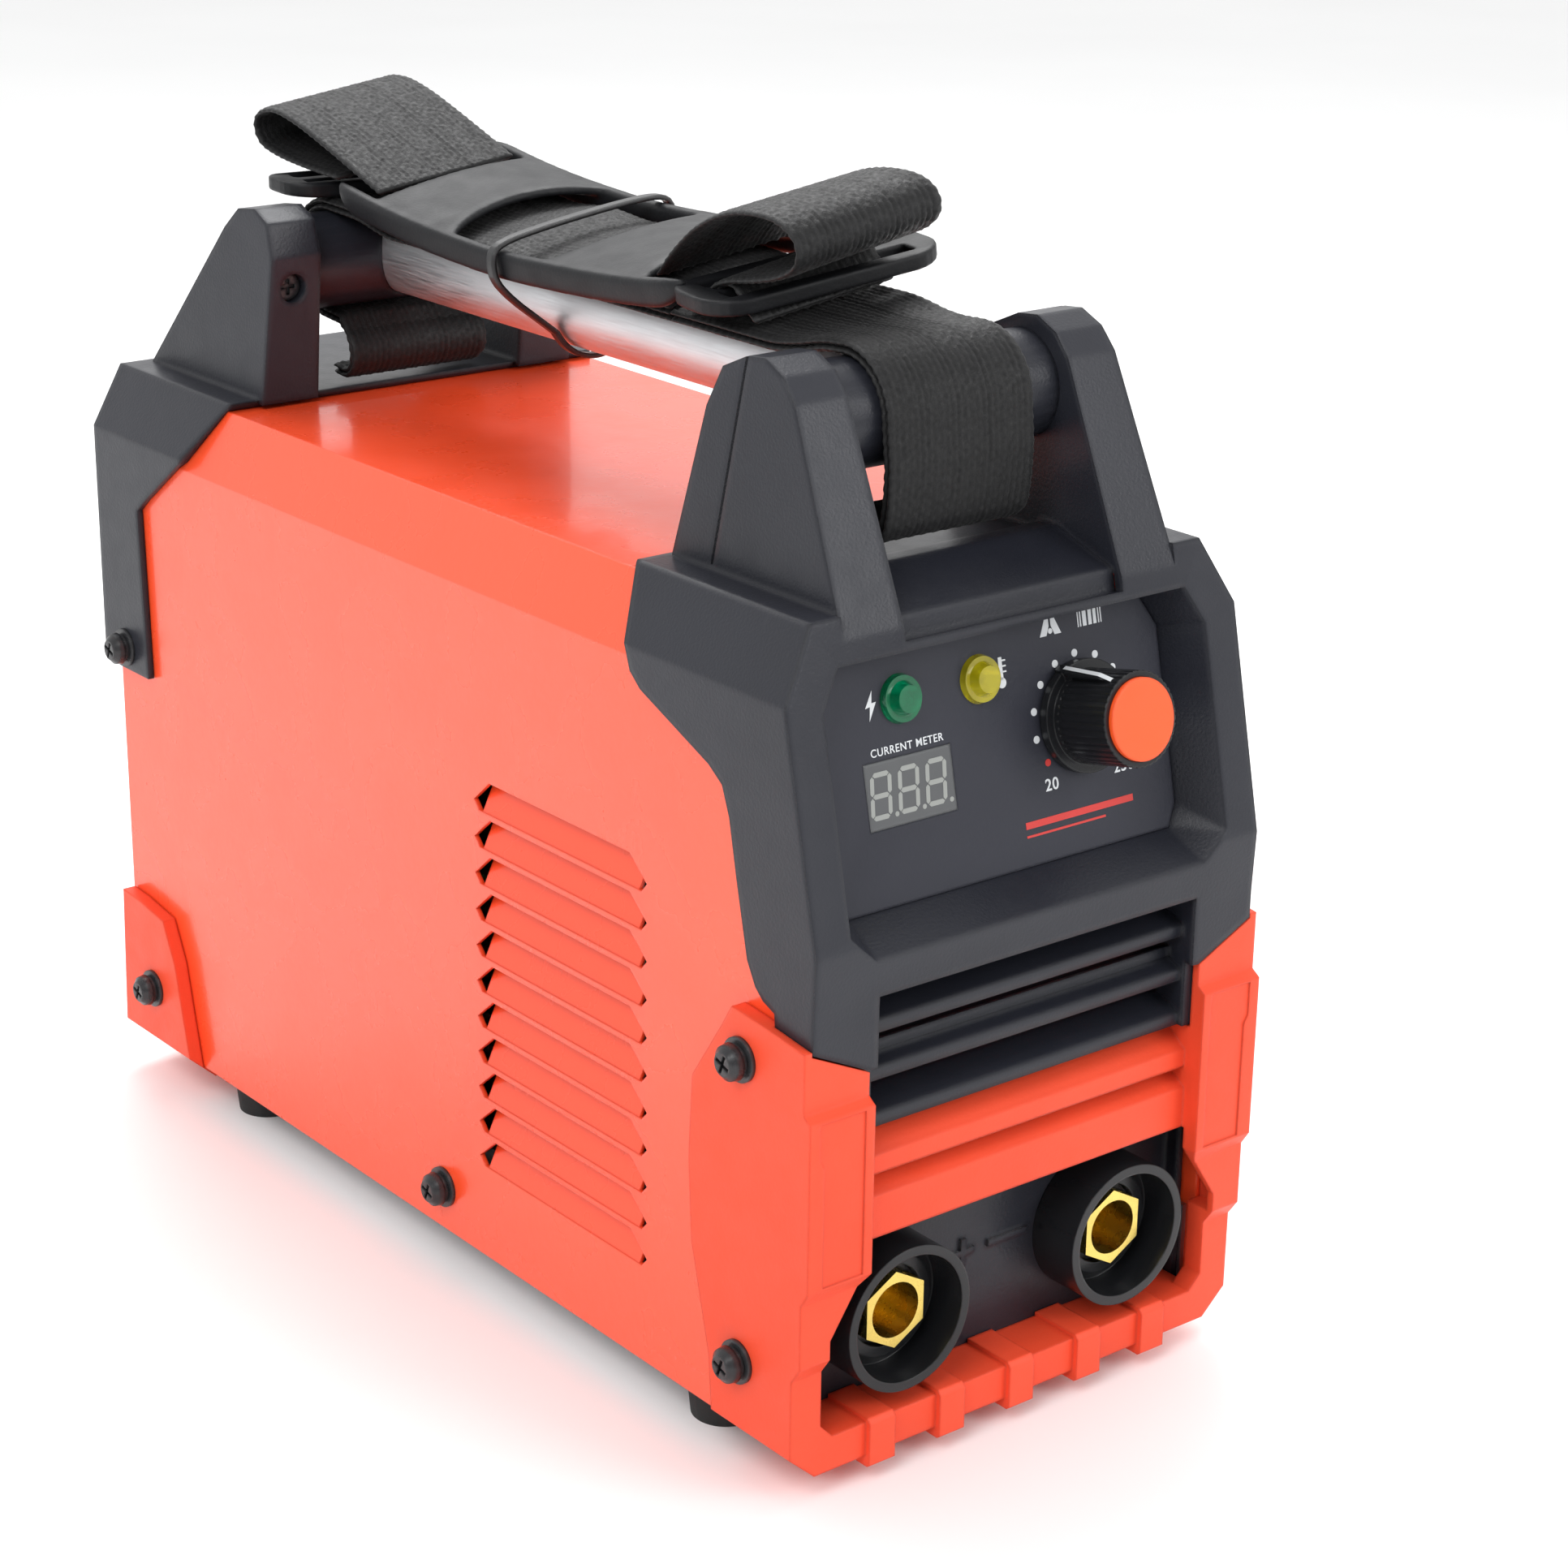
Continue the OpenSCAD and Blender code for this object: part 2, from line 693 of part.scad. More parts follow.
module rear_panel() color("DimGray") place() {
    ix = cx - sheet_t - 0.2;
    difference() {
        union() {
            xz(rear_plate_y, rear_plate_y + sheet_t, both([[cx - chamfer_x - 1.6, case_top - sheet_t - 0.4],
                [ix, case_top - chamfer_z - 0.9], [ix, foot_h + sheet_t + 0.1]]));
            // side flanges that the bezel's screws pass through
            sides()
                box(ix - sheet_t, ix, rear_plate_y - 12, rear_plate_y + 0.5, foot_h + 27, 170);
        }
        rod_y(0, rear_plate_y - 1, rear_plate_y + 3, fan_z, fan_half - 3);
        sides()
            for (z = [fan_z - fan_bolt, fan_z + fan_bolt])
                rod_y(fan_bolt, rear_plate_y - 1, rear_plate_y + 3, z, 2.15);
        rod_y(gland_at[0], rear_plate_y - 1, rear_plate_y + 3, gland_at[1], 10.05);
        box(switch_at[0] - 14, switch_at[0] + 14, rear_plate_y - 1, rear_plate_y + 3,
            switch_at[1] - 11, switch_at[1] + 11);
        rod_y(stud_at[0], rear_plate_y - 1, rear_plate_y + 3, stud_at[1], 3.05);
        side_screw_holes(0.05);
    }
}

// ---- handle ----

module crossbar(y, z, tube_side) {
    difference() {
        union() {
            rod_x(-tower_x0 + 0.05, tower_x0 - 0.05, y, z, bar_r);
            rod_x(-tower_x0 - 6, tower_x0 + 6, y, z, peg_r);
        }
        // seat of the handle's tube
        if (tube_side > 0)
            rod_y(0, y + 4, y + 30, tube_z, tube_r + 0.05);
        else
            rod_y(0, y - 30, y - 4, tube_z, tube_r + 0.05);
    }
}

module front_crossbar() color("Black") place()
    crossbar(bar_y0, bar_z0, 1);

module rear_crossbar() color("Black") place()
    crossbar(bar_y1, bar_z1, -1);

module handle_tube() color("LightGray") place()
    difference() {
        rod_y(0, bar_y0 + 4.05, bar_y1 - 4.05, tube_z, tube_r);
        rod_y(0, bar_y0, bar_y1, tube_z, tube_r - 1.5);
    }

module bezel_screws() color("Black") place()
    sides()
        difference() {
            union() {
                rod_y(38, 237, 239.9, 221, 3.3);
                rod_y(38, 239, 246, 221, 1.5);
            }
            box(37.5, 38.5, 236, 238, 219, 223);
            box(36, 40, 236, 238, 220.5, 221.5);
        }

// ---- fasteners ----

module each_side_screw() {
    for (s = side_screw_at)
        sides()
            translate([s[2], s[0], s[1]])
                rotate([0, 90, 0])
                    children();
}

module flat_washers() color("Black") place()
    each_side_screw()
        difference() {
            cylinder(r = 5, h = 0.9);
            translate([0, 0, -1])
                cylinder(r = thread_r + 0.1, h = 3);
        }

module spring_washers() color("Black") place()
    each_side_screw()
        difference() {
            translate([0, 0, 0.9])
                cylinder(r = 3.7, h = 1.3);
            cylinder(r = thread_r + 0.05, h = 3);
            // the washer's split
            translate([0, -0.4, 0])
                rotate([0, 0, 20])
                    cube([6, 0.8, 3]);
        }

module side_screws() color("Black") place()
    for (s = side_screw_at)
        sides()
            translate([s[2] + 2.2, s[0], s[1]])
                rotate([0, 90, 0])
                    difference() {
                        union() {
                            cylinder(r1 = 4.2, r2 = 3.9, h = 1.6);
                            translate([0, 0, 1.5])
                                cylinder(r1 = 3.9, r2 = 2.6, h = 1.3);
                            translate([0, 0, -(s[2] + 2.2 - cx + 8.5)])
                                cylinder(r = thread_r, h = s[2] + 2.3 - cx + 8.5);
                        }
                        // cross recess
                        for (a = [20, 110])
                            rotate([0, 0, a])
                                translate([-2.2, -0.45, 1.5])
                                    cube([4.4, 0.9, 2]);
                    }

// ---- power unit inside ----

board_z = 101;
board_y0 = 58;
board_y1 = 248;
board_half = 54;
standoff_y = [board_y0 + 6, board_y1 - 15];

module main_board() color("DarkGreen") place()
    difference() {
        box(-board_half, board_half, board_y0, board_y1, board_z, board_z + 1.8);
        sides()
            for (y = standoff_y)
                translate([board_half - 5, y, board_z - 1])
                    cylinder(r = 1.65, h = 5);
    }

module standoffs() color("Silver") place()
    sides()
        for (y = standoff_y)
            translate([board_half - 5, y, foot_h + sheet_t]) {
                cylinder(r = 3, h = board_z - foot_h - sheet_t, $fn = 6);
                cylinder(r = 1.6, h = board_z - foot_h + 2.4);
            }

fin_n = 9;

module heatsinks() color("Gainsboro") place()
    sides()
        difference() {
            box(18, 44, 128, 228, 24, board_z - 0.2);
            for (i = [0 : fin_n - 1])
                box(23, 45, 127, 229, 28 + i * 8, 33.5 + i * 8);
        }

module transistors() color("Black") place()
    sides()
        for (i = [0 : 3])
            box(13, 17.9, 134 + i * 24, 150 + i * 24, 62, 84);

module capacitors() color("SteelBlue") place()
    for (x = [-32, 0, 32])
        translate([x, 214, board_z + 1.8]) {
            cylinder(r = 14.5, h = 50);
            translate([0, 0, 50])
                cylinder(r1 = 14.5, r2 = 13.4, h = 1.4);
        }

core = [-29, 29, 78, 118, 30, 80];

module transformer_core() color("DimGray") place()
    difference() {
        box(core[0], core[1], core[2], core[3], core[4], core[5]);
        // two windows either side of the centre limb
        sides()
            box(9, 22, core[2] - 1, core[3] + 1, core[4] + 9, core[5] - 9);
    }

module transformer_winding() color("Peru") place()
    difference() {
        box(-21.6, 21.6, core[2] - 8, core[3] + 8, core[4] + 9.4, core[5] - 9.4);
        box(-9.3, 9.3, core[2] - 0.3, core[3] + 0.3, 0, 200);
        sides()
            box(21, 40, core[2] - 20, core[3] + 20, 0, 200);
    }

module busbars() color("Goldenrod") place()
    for (x = [-socket_x, socket_x])
        difference() {
            box(x - 9, x + 9, plate_y + 13.15, plate_y + 15.15, socket_z - 13, board_z - 0.1);
            rod_y(x, plate_y + 5, plate_y + 25, socket_z, 8.05);
        }

// ---- rear fan, switch, cable entry and earth stud ----

fan_y0 = rear_plate_y - 25;

module fan_frame() color("Black") place()
    difference() {
        union() {
            difference() {
                box(-fan_half, fan_half, fan_y0, rear_plate_y, fan_z - fan_half, fan_z + fan_half);
                rod_y(0, fan_y0 - 1, rear_plate_y + 1, fan_z, fan_half - 3);
            }
            // motor seat and its three arms
            rod_y(0, fan_y0, fan_y0 + 2, fan_z, 17);
            for (a = [90, 210, 330])
                translate([0, fan_y0, fan_z])
                    rotate([0, a, 0])
                        box(12, fan_half - 2, 0, 2, -2.5, 2.5);
            // axle
            rod_y(0, fan_y0 + 1, fan_y0 + 20, fan_z, 2);
        }
        sides()
            for (z = [fan_z - fan_bolt, fan_z + fan_bolt])
                rod_y(fan_bolt, fan_y0 - 1, rear_plate_y + 1, z, 2.1);
    }

module fan_rotor() color("Black") place()
    difference() {
        union() {
            rod_y(0, fan_y0 + 2.6, fan_y0 + 21.5, fan_z, 17.5);
            for (i = [0 : fan_blades - 1])
                translate([0, fan_y0 + 12, fan_z])
                    rotate([0, i * 360 / fan_blades, 0])
                        rotate([38, 0, 0])
                            translate([16, -0.8, -9])
                                cube([fan_half - 5 - 16, 1.6, 18]);
        }
        rod_y(0, fan_y0, fan_y0 + 20.2, fan_z, 2.05);
    }

module fan_guard() color("Silver") place() {
    y = rear_plate_y + sheet_t;
    difference() {
        union() {
            for (r = [14, 23, 32, 41])
                difference() {
                    rod_y(0, y + 0.05, y + 1.8, fan_z, r + 0.9);
                    rod_y(0, y - 1, y + 3, fan_z, r - 0.9);
                }
            for (a = [45, 135])
                translate([0, y + 0.05, fan_z])
                    rotate([0, a, 0])
                        box(-60, 60, 0, 1.75, -1.2, 1.2);
            sides()
                for (z = [fan_z - fan_bolt, fan_z + fan_bolt])
                    rod_y(fan_bolt, y + 0.05, y + 1.8, z, 4);
        }
        sides()
            for (z = [fan_z - fan_bolt, fan_z + fan_bolt])
                rod_y(fan_bolt, y - 1, y + 3, z, 2.15);
        // nothing reaches past the corner eyes
        difference() {
            rod_y(0, y - 1, y + 3, fan_z, 90);
            rod_y(0, y - 2, y + 4, fan_z, 61);
        }
    }
}

module fan_screws() color("Black") place()
    sides()
        for (z = [fan_z - fan_bolt, fan_z + fan_bolt])
            difference() {
                union() {
                    rod_y(fan_bolt, rear_plate_y + sheet_t + 1.85, rear_plate_y + sheet_t + 4.2, z, 3.4);
                    rod_y(fan_bolt, fan_y0 - 3, rear_plate_y + sheet_t + 2, z, 2);
                }
                box(fan_bolt - 0.5, fan_bolt + 0.5, rear_plate_y + sheet_t + 3, rear_plate_y + 9, z - 2, z + 2);
            }

rocker_r = 7.2;

module switch_body() color("Black") place() {
    y = rear_plate_y + sheet_t;
    x = switch_at[0];
    z = switch_at[1];
    difference() {
        union() {
            box(x - 16, x + 16, y + 0.05, y + 2, z - 13, z + 13);
            box(x - 13.9, x + 13.9, y - 20, y + 0.5, z - 10.9, z + 10.9);
        }
        // well that the rocker tips in
        box(x - 11, x + 11, y - 9, y + 3, z - 8.6, z + 8.6);
        rod_x(x - 13, x + 13, y - 1.5, z, 1.55);
    }
    for (d = [-8, 8])
        box(x + d - 3, x + d + 3, y - 28, y - 19.5, z - 0.4, z + 0.4);
}

module switch_rocker() color("Maroon") place() {
    y = rear_plate_y + sheet_t;
    x = switch_at[0];
    z = switch_at[1];
    translate([0, y - 1.5, z])
        rotate([11, 0, 0]) {
            yz(x - 10.8, x + 10.8, [[-3, -6.4], [4.4, -7.4], [3.2, 0], [4.4, 7.4], [-3, 6.4]]);
            rod_x(x - 12.8, x + 12.8, 0, 0, 1.5);
        }
}

gland_bore = 6;
gland_end = 306.4;

module cable_gland() color("Black") place() {
    y = rear_plate_y + sheet_t;
    difference() {
        union() {
            translate([gland_at[0], y + 0.05, gland_at[1]])
                rotate([-90, 0, 0])
                    cylinder(r = 13.4, h = 4, $fn = 6);
            rod_y(gland_at[0], y - 12, y + 1, gland_at[1], 10);
            rod_y(gland_at[0], y + 4, gland_end - 4, gland_at[1], 11.4);
            translate([gland_at[0], gland_end - 4, gland_at[1]])
                rotate([-90, 0, 0])
                    cylinder(r1 = 11.4, r2 = 8.6, h = 4);
        }
        rod_y(gland_at[0], y - 20, gland_end + 1, gland_at[1], gland_bore);
        // grip flats round the clamping cap
        for (a = [0 : 30 : 330])
            translate([gland_at[0], y + 6, gland_at[1]])
                rotate([0, a, 0])
                    box(11, 13, 0, 30, -1, 1);
    }
}

module gland_nut() color("Black") place()
    difference() {
        translate([gland_at[0], rear_plate_y - 5.1, gland_at[1]])
            rotate([-90, 0, 0])
                cylinder(r = 14.5, h = 5, $fn = 6);
        rod_y(gland_at[0], rear_plate_y - 7, rear_plate_y + 1, gland_at[1], 10.05);
    }

nut_end_y = rear_plate_y + 7;
stud_r = 3;
relief_r = 2.5;

module earth_stud() color("Goldenrod") place() {
    rod_y(stud_at[0], rear_plate_y - 4, rear_plate_y - 0.05, stud_at[1], 5);
    // relieved where the washer and nut sit, full size beyond them
    rod_y(stud_at[0], rear_plate_y - 1, nut_end_y + 1, stud_at[1], relief_r);
    rod_y(stud_at[0], nut_end_y, nut_end_y + 11, stud_at[1], stud_r);
}

module earth_nuts() color("Goldenrod") place() {
    y = rear_plate_y + sheet_t + 0.05;
    difference() {
        union() {
            rod_y(stud_at[0], y, y + 1, stud_at[1], 6.2);
            translate([stud_at[0], y + 1, stud_at[1]])
                rotate([-90, 0, 0])
                    cylinder(r = 5.6, h = 4.5, $fn = 6);
        }
        rod_y(stud_at[0], y - 1, y + 8, stud_at[1], relief_r + 0.05);
    }
}

// ---- strap ----

// unit normal of a path at point i
function normal_at(p, i) = let (a = p[max(i - 1, 0)], b = p[min(i + 1, len(p) - 1)], d = b - a)
    [-d[1], d[0]] / norm(d);

// a path rounded by cutting its corners, n times over
function rounded(p, n) = n == 0 ? p : rounded(concat([p[0]],
    [for (i = [0 : len(p) - 2], s = [0.25, 0.75]) p[i] + (p[i + 1] - p[i]) * s],
    [p[len(p) - 1]]), n - 1);

// closed outline of a band that follows a path
function band(p, t) = concat([for (i = [0 : len(p) - 1]) p[i] + normal_at(p, i) * t / 2],
    [for (i = [len(p) - 1 : -1 : 0]) p[i] - normal_at(p, i) * t / 2]);

function arc(c, r, a0, a1, n) = [for (i = [0 : n]) let (a = a0 + (a1 - a0) * i / n)
    [c[0] + r * cos(a), c[1] + r * sin(a)]];

wrap_r = bar_r + 0.3 + strap_t;
strap_top = tube_z + tube_r + 0.3;

module webbing(path, layers, width = strap_w) {
    yz(-width / 2, width / 2, band(path, layers * strap_t));
}

// the pad, the loops and the buckle lean to one side on the round tube
strap_roll = 8;

module rolled() {
    translate([0, 0, strap_top])
        rotate([0, -strap_roll, 0])
            translate([0, 0, -strap_top])
                children();
}

module strap_front() color("Black") place()
    webbing(concat([[103.4, strap_top + strap_t], [58, strap_top + strap_t]],
        arc([bar_y0, bar_z0], wrap_r, 80, 180, 8),
        rounded([[30, 214], [30.4, 205], [31.5, 200.6], [38, 200], [40, 204]], 2)), 2);

module strap_rear() color("Black") place()
    webbing(concat([[207, strap_top + strap_t], [236, strap_top + strap_t]],
        arc([bar_y1, bar_z1], wrap_r, 88, -90, 12),
        rounded([[243, 208.4], [237.4, 204], [236.4, 198], [240, 195.8], [246, 196.6]], 2)), 2);

module strap_bundle() color("Black") place()
    rolled()
        webbing([[104, strap_top + 1.5 * strap_t], [206, strap_top + 1.5 * strap_t]], 3);

module strap_loop_front() color("Black") place()
    rolled()
        webbing(rounded([[106.8, 246.4], [101, 252.3], [90.2, 260.6], [77, 266], [62, 267], [55.5, 263.5],
            [56.4, 257], [63, 253.4], [74, 250.8], [84, 249.6]], 2), 1);

module strap_loop_rear() color("Black") place()
    rolled()
        webbing(rounded([[220.4, 247.6], [231, 251.6], [243, 256], [256, 260.4], [268, 262.6],
            [277.6, 259.6], [277.4, 252.6], [268, 250.2], [254, 249], [240, 248.6]], 2), 1);

pad_path = [[234, 248.4], [219, 246], [205, 244.2], [190, 243], [166, 241.8], [143, 242.6], [125, 243.6],
    [110, 244.8], [100.6, 245.9]];
pad_half = 25;
rail_w = 3.8;

module shoulder_pad() color("DimGray") place()
    rolled() {
        // crescent plates over the webbing, with the window between them
        intersection() {
            yz(-pad_half + 1, pad_half - 1, band(rounded(pad_path, 2), 2.4));
            translate([0, 0, 230])
                linear_extrude(height = 30)
                    difference() {
                        translate([-pad_half, 109])
                            square([2 * pad_half, 109]);
                        polygon([[-21.2, 150], [-17, 146.6], [-8, 143.4], [0, 142.4], [8, 143.4], [17, 146.6],
                            [21.2, 150], [21.2, 183], [17, 186.4], [8, 189.6], [0, 190.6], [-8, 189.6],
                            [-17, 186.4], [-21.2, 183]]);
                    }
        }
        // deep rails down both sides
        sides()
            yz(pad_half - rail_w, pad_half, band([for (q = rounded(pad_path, 2)) q - [0, 2.2]], 6.8));
    }

module tri_glide(w, l, t) {
    difference() {
        translate([0, 0, t / 2])
            cube([w, l, t], center = true);
        for (y = [-l / 4 + 0.4, l / 4 - 0.4])
            translate([0, y, t / 2])
                cube([w - 10, l / 2 - 5, t + 2], center = true);
    }
}

module buckle_front() color("Black") place()
    rolled()
        translate([3, 83, strap_top + 3.6 + 2 * strap_t])
            rotate([0, 0, -8])
                tri_glide(60, 24, 4);

module buckle_rear() color("Black") place()
    translate([-2, 254, strap_top + 2 * strap_t + 0.8])
        rotate([0, 0, -6])
            tri_glide(54, 20, 3.6);

tie_y = 164;

module tie_outline(grow) {
    hull() {
        translate([0, tube_z])
            circle(r = tube_r + 0.5 + grow, $fn = 32);
        translate([0, strap_top])
            rotate(strap_roll)
                translate([-pad_half - 0.4 - grow, -0.8 - grow])
                    square([2 * (pad_half + 0.4 + grow), 9.8 + 2 * grow]);
    }
}

module bundle_tie() color("Black") place()
    translate([0, tie_y, 0])
        rotate([90, 0, 0])
            linear_extrude(height = 1.6)
                difference() {
                    tie_outline(1.5);
                    tie_outline(0);
                }

casing_cover();
base_plate();
front_bezel();
control_panel();
front_guard();
socket_plate();
socket_collars();
socket_inserts();
socket_nuts();
rear_bezel();
rear_panel();
rear_guard();
front_crossbar();
rear_crossbar();
handle_tube();
feet();
side_screws();
spring_washers();
flat_washers();
bezel_screws();
current_knob();
knob_cap();
pot_body();
pot_nut();
power_lamp();
fault_lamp();
display_window();
display_module();
control_board();
main_board();
standoffs();
heatsinks();
transistors();
capacitors();
transformer_core();
transformer_winding();
busbars();
fan_frame();
fan_rotor();
fan_guard();
fan_screws();
switch_body();
switch_rocker();
cable_gland();
gland_nut();
earth_stud();
earth_nuts();
strap_bundle();
strap_front();
strap_rear();
strap_loop_front();
strap_loop_rear();
shoulder_pad();
buckle_front();
buckle_rear();
bundle_tie();
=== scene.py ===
import json
import math
import bpy
import bmesh
from mathutils import Matrix, Vector


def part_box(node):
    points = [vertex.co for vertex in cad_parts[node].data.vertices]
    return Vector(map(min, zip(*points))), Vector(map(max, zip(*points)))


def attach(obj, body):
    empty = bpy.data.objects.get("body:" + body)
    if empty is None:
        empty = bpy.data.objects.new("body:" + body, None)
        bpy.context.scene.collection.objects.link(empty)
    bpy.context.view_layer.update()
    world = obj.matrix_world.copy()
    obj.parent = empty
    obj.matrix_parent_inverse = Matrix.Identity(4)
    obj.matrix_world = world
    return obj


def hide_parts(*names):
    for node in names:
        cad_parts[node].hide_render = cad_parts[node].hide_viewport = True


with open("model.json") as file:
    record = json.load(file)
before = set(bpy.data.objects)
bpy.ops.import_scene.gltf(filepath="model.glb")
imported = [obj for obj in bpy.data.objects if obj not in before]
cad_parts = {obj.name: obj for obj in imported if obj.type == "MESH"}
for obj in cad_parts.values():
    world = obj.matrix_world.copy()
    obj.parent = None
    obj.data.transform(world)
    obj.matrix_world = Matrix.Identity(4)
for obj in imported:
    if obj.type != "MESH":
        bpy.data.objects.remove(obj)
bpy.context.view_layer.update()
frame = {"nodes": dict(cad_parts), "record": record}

nodes = frame["nodes"]
record = frame["record"]
scene = bpy.context.scene
MM = 0.001


# ---------------------------------------------------------------- materials

class Mat:
    """A node material with short helpers."""

    def __init__(self, name, base=(0.8, 0.8, 0.8), rough=0.5, metal=0.0, **extra):
        self.m = bpy.data.materials.new(name)
        self.m.use_nodes = True
        self.nt = self.m.node_tree
        self.b = self.nt.nodes["Principled BSDF"]
        self.set("Base Color", (*base, 1))
        self.set("Roughness", rough)
        self.set("Metallic", metal)
        for k, v in extra.items():
            self.set(k.replace("_", " "), v)
        self.base = base
        self.coord = None
        self.last_normal = None
        self.rounding = 0.0

    def set(self, key, value):
        self.b.inputs[key].default_value = value

    def add(self, kind, **values):
        n = self.nt.nodes.new(kind)
        for k, v in values.items():
            if k in n.inputs:
                n.inputs[k].default_value = v
            else:
                setattr(n, k, v)
        return n

    def link(self, a, b):
        self.nt.links.new(a, b)

    def place(self):
        if self.coord is None:
            self.coord = self.add("ShaderNodeTexCoord").outputs["Object"]
        return self.coord

    def noise(self, scale, detail=3.0, rough=0.5, stretch=None):
        n = self.add("ShaderNodeTexNoise", Scale=scale, Detail=detail, Roughness=rough)
        src = self.place()
        if stretch:
            mp = self.add("ShaderNodeMapping")
            mp.inputs["Scale"].default_value = stretch
            self.link(src, mp.inputs["Vector"])
            src = mp.outputs["Vector"]
        self.link(src, n.inputs["Vector"])
        return n.outputs["Fac"]

    def ramp(self, src, lo, hi, a=0.0, b=1.0):
        r = self.add("ShaderNodeMapRange")
        r.inputs["From Min"].default_value = lo
        r.inputs["From Max"].default_value = hi
        r.inputs["To Min"].default_value = a
        r.inputs["To Max"].default_value = b
        self.link(src, r.inputs["Value"])
        return r.outputs["Result"]

    def mix(self, fac, c0, c1):
        m = self.add("ShaderNodeMix", data_type="RGBA")
        self.link(fac, m.inputs["Factor"])
        for key, c in (("A", c0), ("B", c1)):
            sock = [s for s in m.inputs if s.name == key and s.type == "RGBA"][0]
            if isinstance(c, tuple):
                sock.default_value = (*c, 1)
            else:
                self.link(c, sock)
        return [s for s in m.outputs if s.type == "RGBA"][0]

    def colour(self, src):
        self.link(src, self.b.inputs["Base Color"])
        return self

    def roughness(self, src):
        self.link(src, self.b.inputs["Roughness"])
        return self

    def bump(self, src, depth, strength=1.0):
        n = self.add("ShaderNodeBump", Strength=strength, Distance=depth)
        self.link(src, n.inputs["Height"])
        if self.last_normal is None and self.rounding:
            soft = self.add("ShaderNodeBevel", samples=4)
            soft.inputs["Radius"].default_value = self.rounding
            self.last_normal = soft.outputs["Normal"]
        if self.last_normal is not None:
            self.link(self.last_normal, n.inputs["Normal"])
        self.last_normal = n.outputs["Normal"]
        self.link(self.last_normal, self.b.inputs["Normal"])
        return self

    def edge_wear_and_shade(self, under, c_proud, amount=0.5, sharp=(0.52, 0.6)):
        """A paler tone where edges stand proud, from the surface's own shape: rubbed wear on moulded and
        painted parts, and painted shade on the webbing, whose weave crevices stay darker than the thread
        crowns.
        """
        geo = self.add("ShaderNodeNewGeometry")
        fac = self.ramp(geo.outputs["Pointiness"], sharp[0], sharp[1], 0.0, amount)
        return self.mix(fac, under, c_proud)


def tone(c, k):
    return tuple(min(1.0, x * k) for x in c)


def painted(name, base, rough, coat=0.0, peel=0.00004, vary=0.07):
    m = Mat(name, base, rough)
    m.rounding = 0.0008
    m.set("Coat Weight", coat)
    m.set("Coat Roughness", 0.08)
    big = m.noise(7.0, 3)
    c = m.mix(m.ramp(big, 0.3, 0.7), tone(base, 1 - vary), tone(base, 1 + vary))
    m.colour(m.edge_wear_and_shade(c, tone(base, 1.5), 0.35))
    m.roughness(m.ramp(m.noise(60.0, 4), 0.3, 0.7, rough * 0.85, rough * 1.2))
    m.bump(m.noise(420.0, 2), peel)
    return m.m


def moulded(name, base, rough, grain=1500.0, depth=0.00006, wear=0.25, spec=0.5, vary=0.1, soft=0.001):
    """Spark-eroded moulded plastic: fine grain, faint blotches, rubbed edges."""
    m = Mat(name, base, rough)
    m.rounding = soft
    m.set("Specular IOR Level", spec)
    c = m.mix(m.ramp(m.noise(22.0, 4), 0.3, 0.7), tone(base, 1 - vary), tone(base, 1 + vary))
    m.colour(m.edge_wear_and_shade(c, tuple(x * 1.5 + 0.02 for x in base), wear))
    m.roughness(m.ramp(m.noise(140.0, 3), 0.3, 0.7, rough * 0.88, min(1.0, rough * 1.14)))
    m.bump(m.noise(grain, 2), depth)
    return m.m


def metal(name, base, rough, stretch=None, scale=300.0, depth=0.00001, tarnish=0.15):
    m = Mat(name, base, rough, 1.0)
    dark = tone(base, 1 - tarnish)
    m.colour(m.mix(m.ramp(m.noise(35.0, 4), 0.3, 0.7), dark, tone(base, 1.05)))
    lines = m.noise(scale, 3, 0.6, stretch)
    m.roughness(m.ramp(lines, 0.3, 0.7, rough * 0.75, rough * 1.3))
    m.bump(lines, depth)
    return m.m


def lens(name, base, rough=0.08, through=0.6):
    m = Mat(name, base, rough)
    m.set("Transmission Weight", through)
    m.set("IOR", 1.48)
    m.set("Coat Weight", 0.5)
    m.set("Coat Roughness", 0.05)
    m.colour(m.mix(m.ramp(m.noise(160.0, 3), 0.35, 0.65), tone(base, 0.8), tone(base, 1.2)))
    m.bump(m.noise(900.0, 2), 0.00001)
    return m.m


